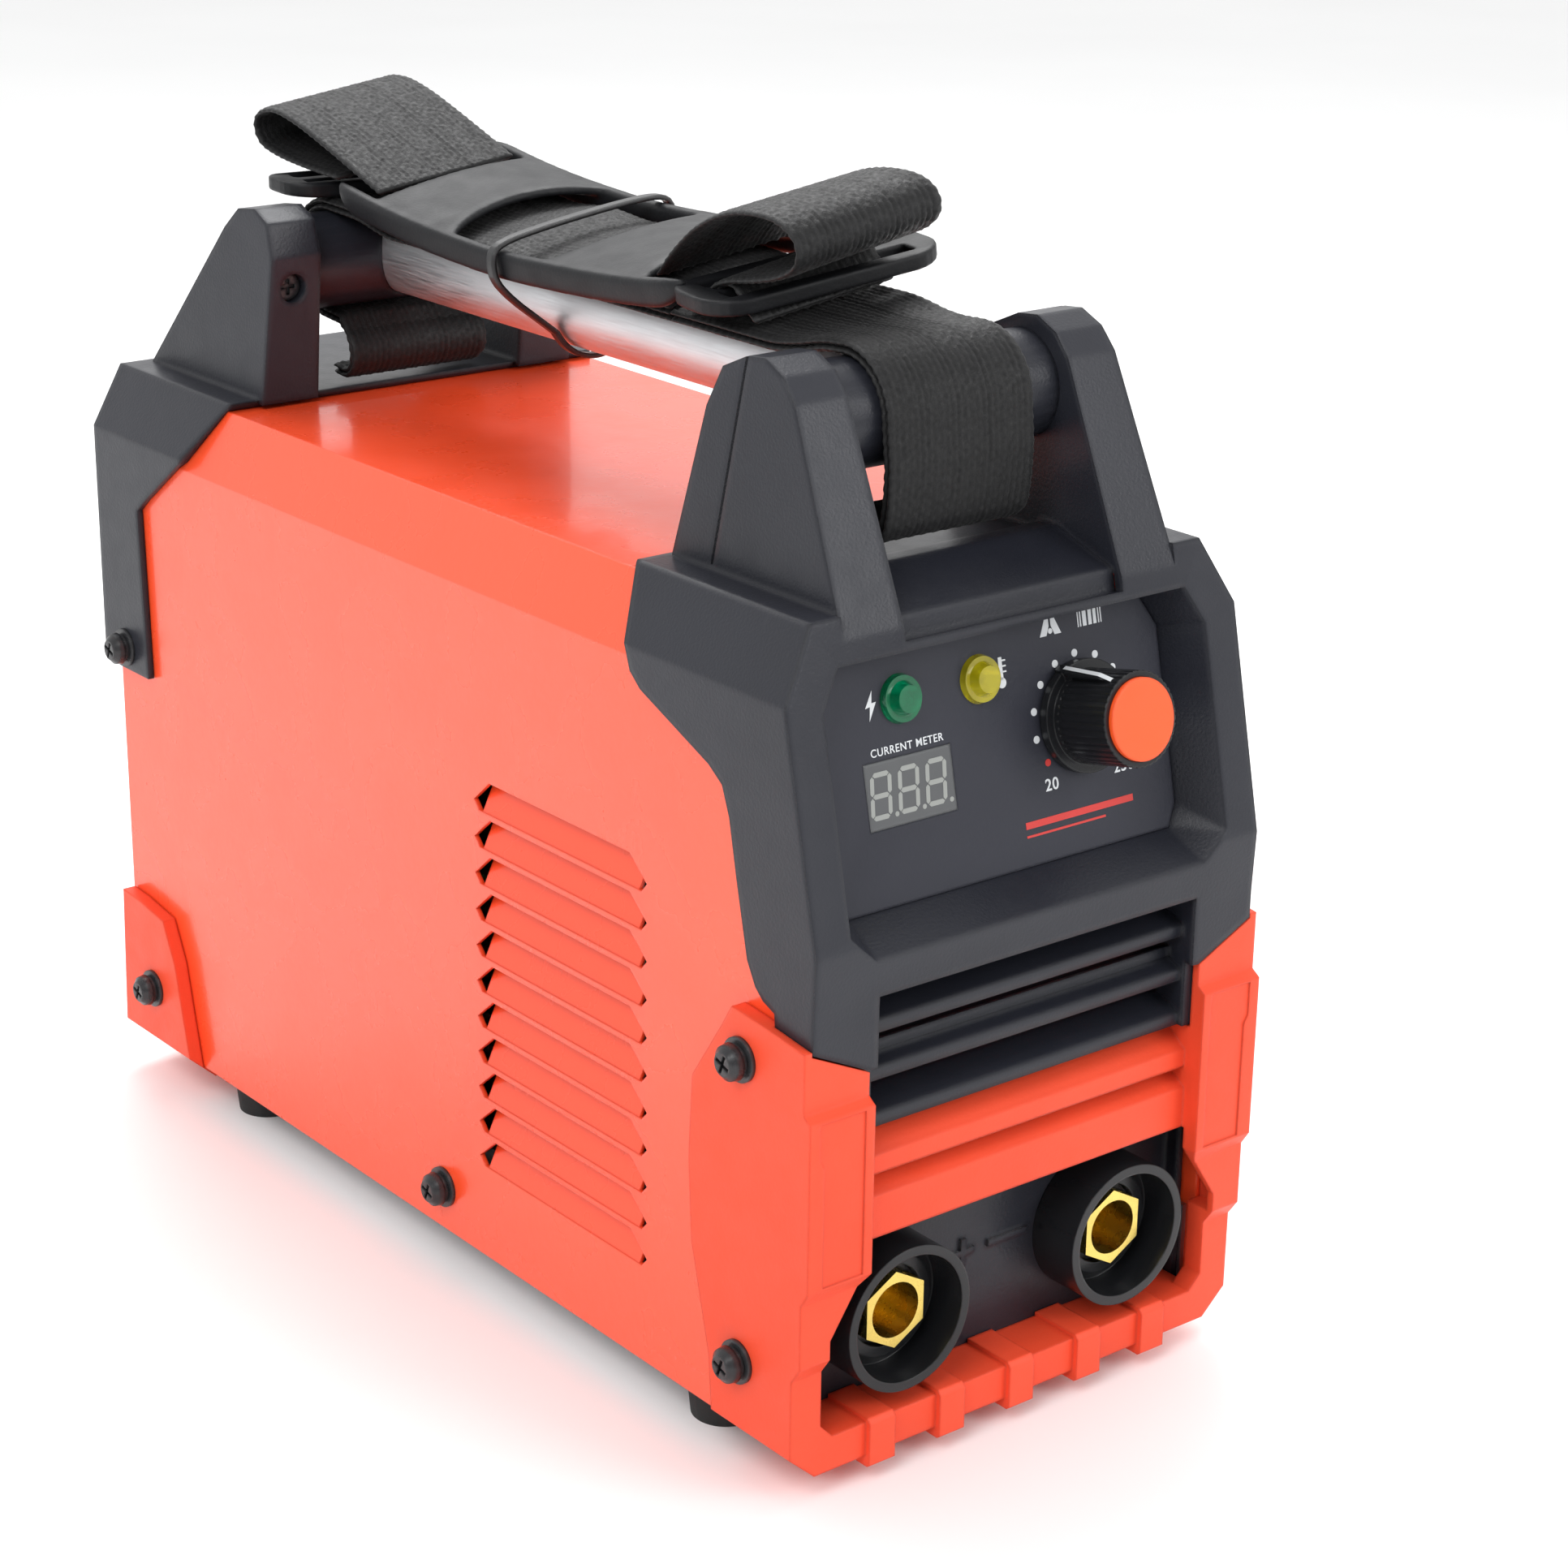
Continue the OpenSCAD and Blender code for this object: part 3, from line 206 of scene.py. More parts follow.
BLACK = (0.0135, 0.0145, 0.0205)
MATS = {
    "casing_paint": painted("casing_paint", (0.90, 0.068, 0.018), 0.28, coat=0.3),
    "dark_paint": painted("dark_paint", (0.04, 0.04, 0.045), 0.4, peel=0.00008),
    "zinc_steel": metal("zinc_steel", (0.55, 0.56, 0.58), 0.38),
    "black_moulding": moulded("black_moulding", BLACK, 0.34, spec=0.3, soft=0.0022),
    "black_gloss": moulded("black_gloss", (0.009, 0.0095, 0.011), 0.24, depth=0.00001, wear=0.1, spec=0.35,
                           soft=0.0005),
    "panel_print": moulded("panel_print", (0.018, 0.019, 0.0275), 0.44, grain=900.0, depth=0.00006,
                           spec=0.24),
    "red_moulding": moulded("red_moulding", (0.76, 0.068, 0.026), 0.42, grain=1100.0, depth=0.00005,
                            wear=0.12, vary=0.05, spec=0.25),
    "brass": metal("brass", (0.84, 0.64, 0.17), 0.26, tarnish=0.3),
    "copper_bar": metal("copper_bar", (0.75, 0.38, 0.2), 0.35),
    "satin_tube": metal("satin_tube", (0.76, 0.78, 0.80), 0.5, (40.0, 1.0, 40.0), 90.0, tarnish=0.05),
    "foot_rubber": moulded("foot_rubber", (0.014, 0.014, 0.014), 0.8, grain=700.0, depth=0.0001, wear=0.05),
    "black_steel": moulded("black_steel", (0.012, 0.012, 0.014), 0.28, grain=800.0, depth=0.00003, wear=0.5),
    "cap_orange": moulded("cap_orange", (0.86, 0.082, 0.008), 0.42, grain=900.0, depth=0.00003, wear=0.05,
                          vary=0.04),
    "green_lens": lens("green_lens", (0.0, 0.30, 0.12)),
    "yellow_lens": lens("yellow_lens", (0.66, 0.58, 0.01)),
    "display_lens": moulded("display_lens", (0.085, 0.088, 0.092), 0.2, grain=500.0, depth=0.000004,
                            wear=0.0),
    "display_case": moulded("display_case", (0.6, 0.6, 0.57), 0.5),
    "circuit_board": moulded("circuit_board", (0.01, 0.12, 0.035), 0.3, grain=400.0, depth=0.00004),
    "fin_aluminium": metal("fin_aluminium", (0.7, 0.7, 0.71), 0.35, (1.0, 30.0, 1.0), 60.0),
    "capacitor_sleeve": moulded("capacitor_sleeve", (0.012, 0.03, 0.12), 0.25, depth=0.00001),
    "ferrite": moulded("ferrite", (0.04, 0.04, 0.042), 0.6, grain=600.0, depth=0.0001),
    "winding_tape": moulded("winding_tape", (0.6, 0.38, 0.06), 0.35, grain=300.0, depth=0.00006),
    "plated_wire": metal("plated_wire", (0.7, 0.7, 0.71), 0.18),
    "rocker_red": moulded("rocker_red", (0.45, 0.015, 0.01), 0.18, depth=0.00001, wear=0.05),
    "tie_nylon": moulded("tie_nylon", (0.012, 0.012, 0.013), 0.35, grain=600.0, depth=0.00003),
}


def webbing_material():
    """Woven polypropylene: the threads are in the mesh; this adds fibre, sheen and fading, and painted shade
    that keeps the weave's crevices darker than the thread crowns.
    """
    m = Mat("webbing", (0.012, 0.012, 0.013), 0.55)
    m.set("Sheen Weight", 0.12)
    m.set("Sheen Roughness", 0.4)
    m.set("Sheen Tint", (0.5, 0.5, 0.5, 1))
    m.set("Specular IOR Level", 0.25)
    c = m.mix(m.ramp(m.noise(25.0, 4), 0.3, 0.7), (0.004, 0.004, 0.0043), (0.009, 0.009, 0.0095))
    # painted shade: the weave's crevices darker and the thread crowns paler, from the mesh's pointiness
    m.colour(m.edge_wear_and_shade(c, (0.03, 0.03, 0.031), 0.5, (0.5, 0.58)))
    m.roughness(m.ramp(m.noise(900.0, 3), 0.3, 0.7, 0.42, 0.7))
    m.bump(m.noise(2600.0, 3), 0.00012)
    return m.m


MATS["webbing"] = webbing_material()

for sub in record["subparts"]:
    ob = nodes[sub["node"]]
    ob.data.materials.clear()
    ob.data.materials.append(MATS[sub["material_slot"]])


MATS["pad_moulding"] = moulded("pad_moulding", (0.009, 0.0094, 0.011), 0.46, grain=1200.0, spec=0.24)
MATS["white_print"] = moulded("white_print", (0.62, 0.64, 0.66), 0.5, depth=0.00001, wear=0.0, soft=0.0)
MATS["red_print"] = moulded("red_print", (0.5, 0.025, 0.02), 0.5, depth=0.00001, wear=0.0, soft=0.0)
MATS["segment"] = moulded("segment", (0.27, 0.28, 0.265), 0.35, depth=0.00001, wear=0.0, soft=0.0)


# ---------------------------------------------------------------- printed marks

joint = next(j for j in record["behaviour"]["joints"] if j["name"] == "knob_turn")
DIAL = Vector(joint["pos_m"])
OUT = Vector(joint["axis"]).normalized()
RIGHT = Vector((1, 0, 0))
UP = Vector((0, OUT.z, -OUT.y))


def on_panel(u, v, out=0.0):
    """A point on the panel, u right and v up from the dial's centre, in metres."""
    return DIAL + RIGHT * u + UP * v + OUT * out


def in_panel(p):
    d = p - DIAL
    return d.dot(RIGHT), d.dot(UP), d.dot(OUT)


def middle(node):
    a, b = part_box(node)
    return in_panel((a + b) / 2)


def piece(name, mesh, mat, body="chassis", smooth=False):
    ob = bpy.data.objects.new(name, mesh)
    scene.collection.objects.link(ob)
    mesh.materials.clear()
    mesh.materials.append(MATS[mat])
    mesh.polygons.foreach_set("use_smooth", [smooth] * len(mesh.polygons))
    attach(ob, body)
    return ob


def plates(name, polys, mat, at, body="chassis", thick=0.00008):
    """Thin printed shapes: each polygon, in millimetres, becomes a small raised plate.

    at(u, v, h) gives the place of a point."""
    bm = bmesh.new()
    for poly in polys:
        low = [bm.verts.new(at(u * MM, v * MM, 0.00001)) for u, v in poly]
        top = [bm.verts.new(at(u * MM, v * MM, thick)) for u, v in poly]
        bm.faces.new(top)
        n = len(poly)
        for i in range(n):
            bm.faces.new((low[i], low[(i + 1) % n], top[(i + 1) % n], top[i]))
    bmesh.ops.recalc_face_normals(bm, faces=bm.faces)
    me = bpy.data.meshes.new(name)
    bm.to_mesh(me)
    bm.free()
    return piece(name, me, mat, body)


def disc(u, v, r, n=24):
    return [(u + r * math.cos(2 * math.pi * i / n), v + r * math.sin(2 * math.pi * i / n)) for i in range(n)]


def bar(p, q, w):
    dx, dy = q[0] - p[0], q[1] - p[1]
    k = w / 2 / math.hypot(dx, dy)
    nx, ny = -dy * k, dx * k
    return [(p[0] + nx, p[1] + ny), (p[0] - nx, p[1] - ny), (q[0] - nx, q[1] - ny), (q[0] + nx, q[1] + ny)]


def words(name, text, size, u, v, mat="white_print", bold=0.0):
    """Short generic legend on the panel, size being the letters' height in millimetres."""
    cu = bpy.data.curves.new(name, "FONT")
    cu.body = text
    cu.size = size * MM / 0.7
    cu.align_x, cu.align_y = "CENTER", "CENTER"
    cu.extrude = 0.00003
    cu.offset = bold
    cu.space_character = 1.1
    ob = bpy.data.objects.new(name, cu)
    scene.collection.objects.link(ob)
    bpy.context.view_layer.update()
    me = bpy.data.meshes.new_from_object(ob.evaluated_get(bpy.context.evaluated_depsgraph_get()))
    bpy.data.objects.remove(ob)
    m = Matrix((RIGHT, UP, OUT)).transposed().to_4x4()
    m.translation = on_panel(u * MM, v * MM, 0.00004)
    me.transform(m)
    me.name = name
    return piece(name, me, mat)


DOT_R = 13.65
dial_dots = [math.radians(90 + 127.3 - 25.46 * i) for i in range(11)]


def dot_at(a):
    return DOT_R * math.cos(a), DOT_R * math.sin(a)


plates("dial_dots", [disc(*dot_at(a), 0.85) for a in dial_dots[1:-1]], "white_print", on_panel)
plates("dial_ends", [disc(*dot_at(a), 0.8) for a in (dial_dots[0], dial_dots[-1])],
       "red_print", on_panel)
words("dial_low", "20", 2.6, -10.4, -13.2, bold=0.00005)
words("dial_high", "250", 2.6, 10.8, -13.2, bold=0.00005)

lamp_g, lamp_y, win = middle("power_lamp"), middle("fault_lamp"), middle("display_window")
gu, gv = lamp_g[0] * 1000, lamp_g[1] * 1000
yu, yv = lamp_y[0] * 1000, lamp_y[1] * 1000
wu, wv = win[0] * 1000, win[1] * 1000
words("meter_legend", "CURRENT METER", 1.65, wu + 0.3, wv + 8.9, bold=0.00002)

# supply and temperature signs beside the lamps
plates("panel_signs", [
    [(gu - 7.2, gv + 2.9), (gu - 9.4, gv - 0.6), (gu - 8.1, gv - 0.4), (gu - 8.6, gv - 3.4),
     (gu - 6.4, gv + 0.4), (gu - 7.6, gv + 0.3)],
    disc(yu + 6.2, yv - 2.1, 1.15), bar((yu + 6.2, yv - 1.5), (yu + 6.2, yv + 3.4), 1.0),
    *[bar((yu + 6.6, yv + h), (yu + 7.7, yv + h), 0.35) for h in (0.2, 1.4, 2.6)],
    # plain wedge and bars over the dial
    [(-9.3, 18.6), (-7.1, 23.3), (-6.5, 23.3), (-6.5, 20.6), (-7.4, 18.6)],
    [(-3.1, 18.6), (-5.3, 23.3), (-5.9, 23.3), (-5.9, 20.6), (-5.0, 18.6)], disc(-6.2, 19.5, 0.62, 14),
    *[bar((x, 18.9), (x, 23.2), w) for x, w in ((2.0, 0.3), (2.7, 0.35), (3.9, 1.1), (5.5, 1.0), (6.9, 0.9),
                                                (8.0, 0.3), (8.7, 0.3))],
], "white_print", on_panel)
# plain red rule where such a panel carries its maker's type
plates("panel_rule", [bar((-19.0, -20.6), (12.5, -20.6), 1.5), bar((-19.0, -23.0), (4.0, -23.0), 0.5)],
       "red_print", on_panel)

# unlit digits in the display's window
face_out = max(in_panel(v.co)[2] for v in nodes["display_window"].data.vertices)


def on_window(u, v, h=0.0):
    return on_panel(u, v, face_out + h)


def segment(p, q, w=1.05):
    dx, dy = q[0] - p[0], q[1] - p[1]
    length = math.hypot(dx, dy)
    dx, dy = dx / length, dy / length
    k = w / 2
    gap = 0.16
    p = (p[0] + dx * gap, p[1] + dy * gap)
    q = (q[0] - dx * gap, q[1] - dy * gap)
    return [p, (p[0] + (dx - dy) * k, p[1] + (dy + dx) * k), (q[0] - (dx + dy) * k, q[1] - (dy - dx) * k), q,
            (q[0] + (-dx + dy) * k, q[1] + (-dy - dx) * k), (p[0] + (dx + dy) * k, p[1] + (dy - dx) * k)]


segs = []
for k in (-1, 0, 1):
    cu0, w2, h2 = wu - 0.5 + k * 7.5, 2.35, 4.45

    def sk(x, y, c=cu0):
        return c + x + y * 0.1, wv + y

    a, b, c, d, e, f = sk(-w2, h2), sk(w2, h2), sk(-w2, 0), sk(w2, 0), sk(-w2, -h2), sk(w2, -h2)
    for p, q in ((a, b), (c, d), (e, f), (a, c), (b, d), (c, e), (d, f)):
        segs.append(segment(p, q))
    segs.append(disc(f[0] + 1.75, f[1] - 0.1, 0.55, 16))
plates("display_segments", segs, "segment", on_window, thick=0.00005)

# white line along the knob's pointer fin
FIN = math.radians(117.2)
radial = RIGHT * math.cos(FIN) + UP * math.sin(FIN)
across = -RIGHT * math.sin(FIN) + UP * math.cos(FIN)
knob_top = max(in_panel(v.co)[2] for v in nodes["current_knob"].data.vertices)
knob_fin = max((v.co - DIAL).dot(radial) for v in nodes["current_knob"].data.vertices)
fin_line = [(knob_fin - 0.0001, 0.0030), (knob_fin - 0.0015, 0.0130), (0.0095, knob_top - 0.0007)]
bm = bmesh.new()
rows = []
for i, (r, h) in enumerate(fin_line):
    n = (radial * 0.2 + OUT * 0.05) if i < 2 else (radial * 0.1 + OUT * 0.25)
    rows.append([bm.verts.new(DIAL + radial * r + OUT * h + across * w * MM + n * MM) for w in (-0.55, 0.55)])
for a, b in zip(rows, rows[1:]):
    bm.faces.new((a[0], a[1], b[1], b[0]))
me = bpy.data.meshes.new("pointer_line")
bm.to_mesh(me)
bm.free()
piece("pointer_line", me, "white_print", "knob")


# ---------------------------------------------------------------- webbing, pad, buckles and tie

tube_lo, tube_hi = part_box("handle_tube")
bar_lo, bar_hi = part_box("front_crossbar")
rear_lo, rear_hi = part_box("rear_crossbar")
TUBE_Z = (tube_lo.z + tube_hi.z) / 2
TUBE_R = (tube_hi.x - tube_lo.x) / 2
BAR = ((bar_lo.y + bar_hi.y) / 2, (bar_lo.z + bar_hi.z) / 2, (bar_hi.z - bar_lo.z) / 2)
REAR = ((rear_lo.y + rear_hi.y) / 2, (rear_lo.z + rear_hi.z) / 2, (rear_hi.z - rear_lo.z) / 2)
LAY = TUBE_Z + TUBE_R + 0.0003
T = 0.0016
ROLL = math.radians(8)
# paths are given from the machine's front face, in millimetres; this is that face in the row frame
DIAL_SET_BACK = 0.0141
FACE = DIAL.y - DIAL_SET_BACK


def chaikin(p, n):
    for _ in range(n):
        q = [p[0]]
        for a, b in zip(p, p[1:]):
            q += [tuple(x + (y - x) * s for x, y in zip(a, b)) for s in (0.25, 0.75)]
        p = q + [p[-1]]
    return p


def resample(p, step):
    run = [0.0]
    for a, b in zip(p, p[1:]):
        run.append(run[-1] + math.dist(a, b))
    n = max(2, int(round(run[-1] / step)))
    out, j = [], 0
    for i in range(n + 1):
        s = run[-1] * i / n
        while j < len(run) - 2 and run[j + 1] < s:
            j += 1
        t = (s - run[j]) / max(1e-9, run[j + 1] - run[j])
        out.append(tuple(x + (y - x) * t for x, y in zip(p[j], p[j + 1])))
    return out, run[-1]


def rolled(x, y, z, k=1.0):
    """Leans a point to one side about the top of the tube."""
    a = ROLL * k
    return x * math.cos(a) - (z - LAY) * math.sin(a), y, LAY + x * math.sin(a) + (z - LAY) * math.cos(a)


def smooth_step(t):
    t = min(1.0, max(0.0, t))
    return t * t * (3 - 2 * t)


CELL_U, CELL_V, WEAVE = 1.7, 2.5, 0.00048


def weave(u, v, shift):
    """Height of the woven surface at u across and v along, in millimetres."""
    col = math.floor(u / CELL_U)
    across_k = abs(math.sin(math.pi * u / CELL_U)) ** 0.6
    along_k = abs(math.sin(math.pi * (v / CELL_V + 0.5 * ((col + shift) % 2)))) ** 0.7
    return across_k * (0.25 + 0.75 * along_k)


def webbing(name, path, roll=lambda y: 1.0, width=0.040, crown=0.0, twist=0.0, replaces=()):
    """One layer of woven strap along a path of (y, z) in metres, threads in the mesh."""
    pts, length = resample(path, 0.0008)
    n = len(pts)
    cols = 75
    verts, faces = [], []
    ring = 2 * (cols + 1)
    for i, (y, z) in enumerate(pts):
        a, b = pts[max(0, i - 1)], pts[min(n - 1, i + 1)]
        d = math.dist(a, b)
        ny, nz = -(b[1] - a[1]) / d, (b[0] - a[0]) / d
        s_mm = length * 1000 * i / (n - 1)
        edge = 1.0 + 0.008 * math.sin(2 * math.pi * s_mm / CELL_V)
        k = roll(y)
        for side in (1, -1):
            for j in range(cols + 1):
                t = j / cols if side > 0 else 1 - j / cols
                x = (t - 0.5) * width * edge
                u_mm = t * width * 1000
                h = weave(u_mm, s_mm, 0 if side > 0 else 1) * WEAVE
                rim = min(1.0, min(t, 1 - t) * width / 0.0012)
                off = side * (T * 0.5 - WEAVE * 0.85) * (0.45 + 0.55 * rim) + side * h * rim
                lift = crown * (1 - (2 * t - 1) ** 2) + twist * (t - 0.5) * smooth_step((i / n - 0.3) / 0.4)
                verts.append(rolled(x, y + ny * off, z + nz * off + lift, k))
    for i in range(n - 1):
        for j in range(ring):
            a, b = i * ring + j, i * ring + (j + 1) % ring
            faces.append((a, a + ring, b + ring, b))
    faces.append(tuple(range(ring)))
    faces.append(tuple((n - 1) * ring + j for j in reversed(range(ring))))
    me = bpy.data.meshes.new(name)
    me.from_pydata(verts, [], faces)
    me.validate()
    bm = bmesh.new()
    bm.from_mesh(me)
    bmesh.ops.recalc_face_normals(bm, faces=bm.faces)
    bm.to_mesh(me)
    bm.free()
    ob = piece(name, me, "webbing", smooth=True)
    if replaces:
        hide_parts(*replaces)
    return ob


def local(p):
    return [(FACE + y * MM, z * MM) for y, z in p]


def arc(c, r, a0, a1, n=10):
    return [(c[0] + r * math.cos(math.radians(a0 + (a1 - a0) * i / n)),
             c[1] + r * math.sin(math.radians(a0 + (a1 - a0) * i / n))) for i in range(n + 1)]


def front_roll(y):
    return smooth_step((y - (BAR[0] + 0.004)) / 0.022)


def rear_roll(y):
    return smooth_step((REAR[0] - 0.012 - y) / 0.02)


for k, tag in ((0, "inner"), (1, "outer")):
    r = BAR[2] + 0.0003 + T * (k + 0.5)
    z = LAY + T * (k + 0.5)
    drop = chaikin(local([(29.9 - 1.5 * k, 216), (30.2 - 1.5 * k, 207), (31.6 - 1.4 * k, 201.6 - k),
                          (36, 200.2 - 1.5 * k), (39.4 + k, 202 - k), (40.6 + 1.5 * k, 205)]), 2)
    flat = [(FACE + 0.1034, z), (FACE + 0.058, z)]
    webbing("front_strap_" + tag, flat + arc(BAR[:2], r, 82, 180, 14) + drop, front_roll,
            replaces=("strap_front",) if k else ())
    r = REAR[2] + 0.0003 + T * (k + 0.5)
    tail = chaikin(local([(243, 210.4 - 1.6 * k), (238.4 - 1.5 * k, 204.6), (238 - 1.5 * k, 199),
                          (241, 196.6 - 1.5 * k), (246, 197.4 - 1.5 * k)]), 2)
    flat = [(FACE + 0.207, z), (FACE + 0.236, z)]
    webbing("rear_strap_" + tag, flat + arc(REAR[:2], r, 88, -90, 20) + tail, rear_roll,
            replaces=("strap_rear",) if k else ())

for k in range(3):
    wave = [(FACE + y * MM, LAY + T * (k + 0.5) + 0.00025 * k * math.sin(y * 0.21 + k))
            for y in range(104, 207, 3)]
    webbing("strap_layer_%d" % (k + 1), wave, crown=0.0009 * k, replaces=("strap_bundle",) if k == 2 else ())

webbing("front_loop", chaikin(local([
    (106.8, 246.4), (101, 252.3), (90.2, 260.2), (77, 265.2), (63, 266), (56, 262.6), (56.4, 257), (63, 253.4),
    (73, 251), (82, 249.6), (88.4, 247), (90.2, 243.6), (91, 241.6)]), 3), twist=0.0012,
        replaces=("strap_loop_front",))
webbing("buckle_turn", chaikin(local([
    (73.6, 241.2), (75.8, 242.4), (77.6, 245), (80, 247.9), (83.4, 248.3), (86.2, 246.6), (87.2, 243.6),
    (87.6, 241.4)]), 3), width=0.0385)
webbing("rear_loop", chaikin(local([
    (220.4, 247.6), (231, 251.6), (243, 256), (256, 260.4), (268, 262.6), (277, 259.6), (277, 252.8),
    (268, 250.4), (254, 249.2), (240, 248.6)]), 3), replaces=("strap_loop_rear",))


# ---- shoulder pad: crowned plates over the webbing between two rounded rails

PAD = local([(234, 248.4), (219, 246), (205, 244.2), (190, 243), (166, 241.8), (143, 242.6), (125, 243.6),
             (108, 245), (94, 247.2)])
pad_line, _ = resample(chaikin(PAD, 3), 0.0015)


def pad_z(y):
    for a, b in zip(pad_line, pad_line[1:]):
        if (a[0] - y) * (b[0] - y) <= 0:
            t = (y - a[0]) / (b[0] - a[0]) if b[0] != a[0] else 0
            return a[1] + (b[1] - a[1]) * t
    return pad_line[0][1] if y > pad_line[0][0] else pad_line[-1][1]


def crescent(bm, y_in, y_out, bow):
    """A crowned plate whose window edge bows inwards by bow."""
    nx, ny = 28, 12
    half = 0.0225
    grid = {}
    for s in (0, 1):
        for i in range(nx + 1):
            x = -half + 2 * half * i / nx
            edge = y_in + bow * math.sqrt(max(0.0, 1 - (x / half) ** 2))
            out = y_out - math.copysign(0.003, y_out - y_in) * (1 - (x / half) ** 2)
            for j in range(ny + 1):
                y = edge + (out - edge) * j / ny
                crown = 0.0026 * (1 - (x / half) ** 2)
                thin = 0.0013 if 0 < j < ny else 0.0009
                grid[s, i, j] = bm.verts.new(rolled(x, y, pad_z(y) + crown + (thin if s else -thin)))
    for i in range(nx):
        for j in range(ny):
            bm.faces.new((grid[1, i, j], grid[1, i + 1, j], grid[1, i + 1, j + 1], grid[1, i, j + 1]))
            bm.faces.new((grid[0, i, j], grid[0, i, j + 1], grid[0, i + 1, j + 1], grid[0, i + 1, j]))
    for i in range(nx):
        for j in (0, ny):
            bm.faces.new((grid[0, i, j], grid[0, i + 1, j], grid[1, i + 1, j], grid[1, i, j]))
    for j in range(ny):
        for i in (0, nx):
            bm.faces.new((grid[0, i, j], grid[0, i, j + 1], grid[1, i, j + 1], grid[1, i, j]))


def rail(bm, side):
    """A deep rounded rail that follows the pad's line and tapers at both ends."""
    n = len(pad_line)
    rings = []
    for i, (y, z) in enumerate(pad_line):
        end = min(i, n - 1 - i) * 0.0015
        k = math.sqrt(max(0.02, 1 - max(0.0, 1 - end / 0.009) ** 2))
        low, high, w = 0.0054 * k, 0.0014 * (0.4 + 0.6 * k), 0.0019 * (0.3 + 0.7 * k)
        inward = 0.0012 * (1 - k)
        ring = []
        for a in range(16):
            c, s = math.cos(math.pi * a / 8), math.sin(math.pi * a / 8)
            px = w * math.copysign(abs(c) ** 0.6, c)
            pz = (high + low) / 2 * math.copysign(abs(s) ** 0.6, s) + (high - low) / 2
            ring.append(bm.verts.new(rolled(side * (0.0231 - inward) + px, y, z + pz)))
        rings.append(ring)
    for a, b in zip(rings, rings[1:]):
        for j in range(16):
            bm.faces.new((a[j], a[(j + 1) % 16], b[(j + 1) % 16], b[j]))
    bm.faces.new(rings[0])
    bm.faces.new(list(reversed(rings[-1])))


bm = bmesh.new()
crescent(bm, FACE + 0.183, FACE + 0.219, 0.0076)
crescent(bm, FACE + 0.150, FACE + 0.1085, -0.0076)
rail(bm, 1)
rail(bm, -1)
bmesh.ops.recalc_face_normals(bm, faces=bm.faces)
me = bpy.data.meshes.new("shoulder_pad_moulding")
bm.to_mesh(me)
bm.free()
pad = bpy.data.objects.new("shoulder_pad_moulding", me)
scene.collection.objects.link(pad)
rm = pad.modifiers.new("join", "REMESH")
rm.mode, rm.voxel_size, rm.use_smooth_shade = "VOXEL", 0.00055, True
sm = pad.modifiers.new("ease", "SMOOTH")
sm.factor, sm.iterations = 0.5, 6
bpy.context.view_layer.update()
me2 = bpy.data.meshes.new_from_object(pad.evaluated_get(bpy.context.evaluated_depsgraph_get()))
bpy.data.objects.remove(pad)
pad = piece("shoulder_pad_moulding", me2, "pad_moulding", smooth=True)
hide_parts("shoulder_pad")


def rounded_rect(w, h, r, cx=0.0, cy=0.0, n=6):
    pts = []
    for sx, sy, a0 in ((1, 1, 0), (-1, 1, 90), (-1, -1, 180), (1, -1, 270)):
        for i in range(n + 1):
            a = math.radians(a0 + 90 * i / n)
            pts.append((cx + sx * (w / 2 - r) + r * math.cos(a), cy + sy * (h / 2 - r) + r * math.sin(a)))
    return pts


def buckle(name, node, w, h, thick, turn, roll):
    """Tri-glide: a flat frame with round ends, two slots and a waisted middle bar."""
    a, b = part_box(node)
    cx, cy, cz = (a + b) / 2
    cu = bpy.data.curves.new(name, "CURVE")
    cu.dimensions, cu.fill_mode = "2D", "BOTH"
    cu.extrude, cu.bevel_depth, cu.bevel_resolution = thick / 2 - 0.0006, 0.0006, 2
    slots = [rounded_rect(w - 0.0118, h * 0.27, 0.0014, 0, y) for y in (h * 0.21, -h * 0.21)]
    for pts in [rounded_rect(w - 0.0012, h - 0.0012, h * 0.34)] + slots:
        sp = cu.splines.new("POLY")
        sp.points.add(len(pts) - 1)
        for q, (x, y) in zip(sp.points, pts):
            q.co = (x, y, 0, 1)
        sp.use_cyclic_u = True
    ob = bpy.data.objects.new(name, cu)
    scene.collection.objects.link(ob)
    bpy.context.view_layer.update()
    me = bpy.data.meshes.new_from_object(ob.evaluated_get(bpy.context.evaluated_depsgraph_get()))
    bpy.data.objects.remove(ob)
    bow = thick * 0.5
    for v in me.vertices:
        v.co.z += bow * ((v.co.x / (w / 2)) ** 2 - 0.4) * 0.6
    m = Matrix.Translation((cx, cy, cz)) @ Matrix.Rotation(roll, 4, "Y") @ Matrix.Rotation(turn, 4, "Z")
    me.transform(m)
    me.name = name
    ob = piece(name, me, "pad_moulding")
    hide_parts(node)
    return ob


buckle("front_triglide", "buckle_front", 0.060, 0.024, 0.0036, math.radians(-8), -ROLL)
buckle("rear_triglide", "buckle_rear", 0.054, 0.020, 0.0034, math.radians(-6), 0)

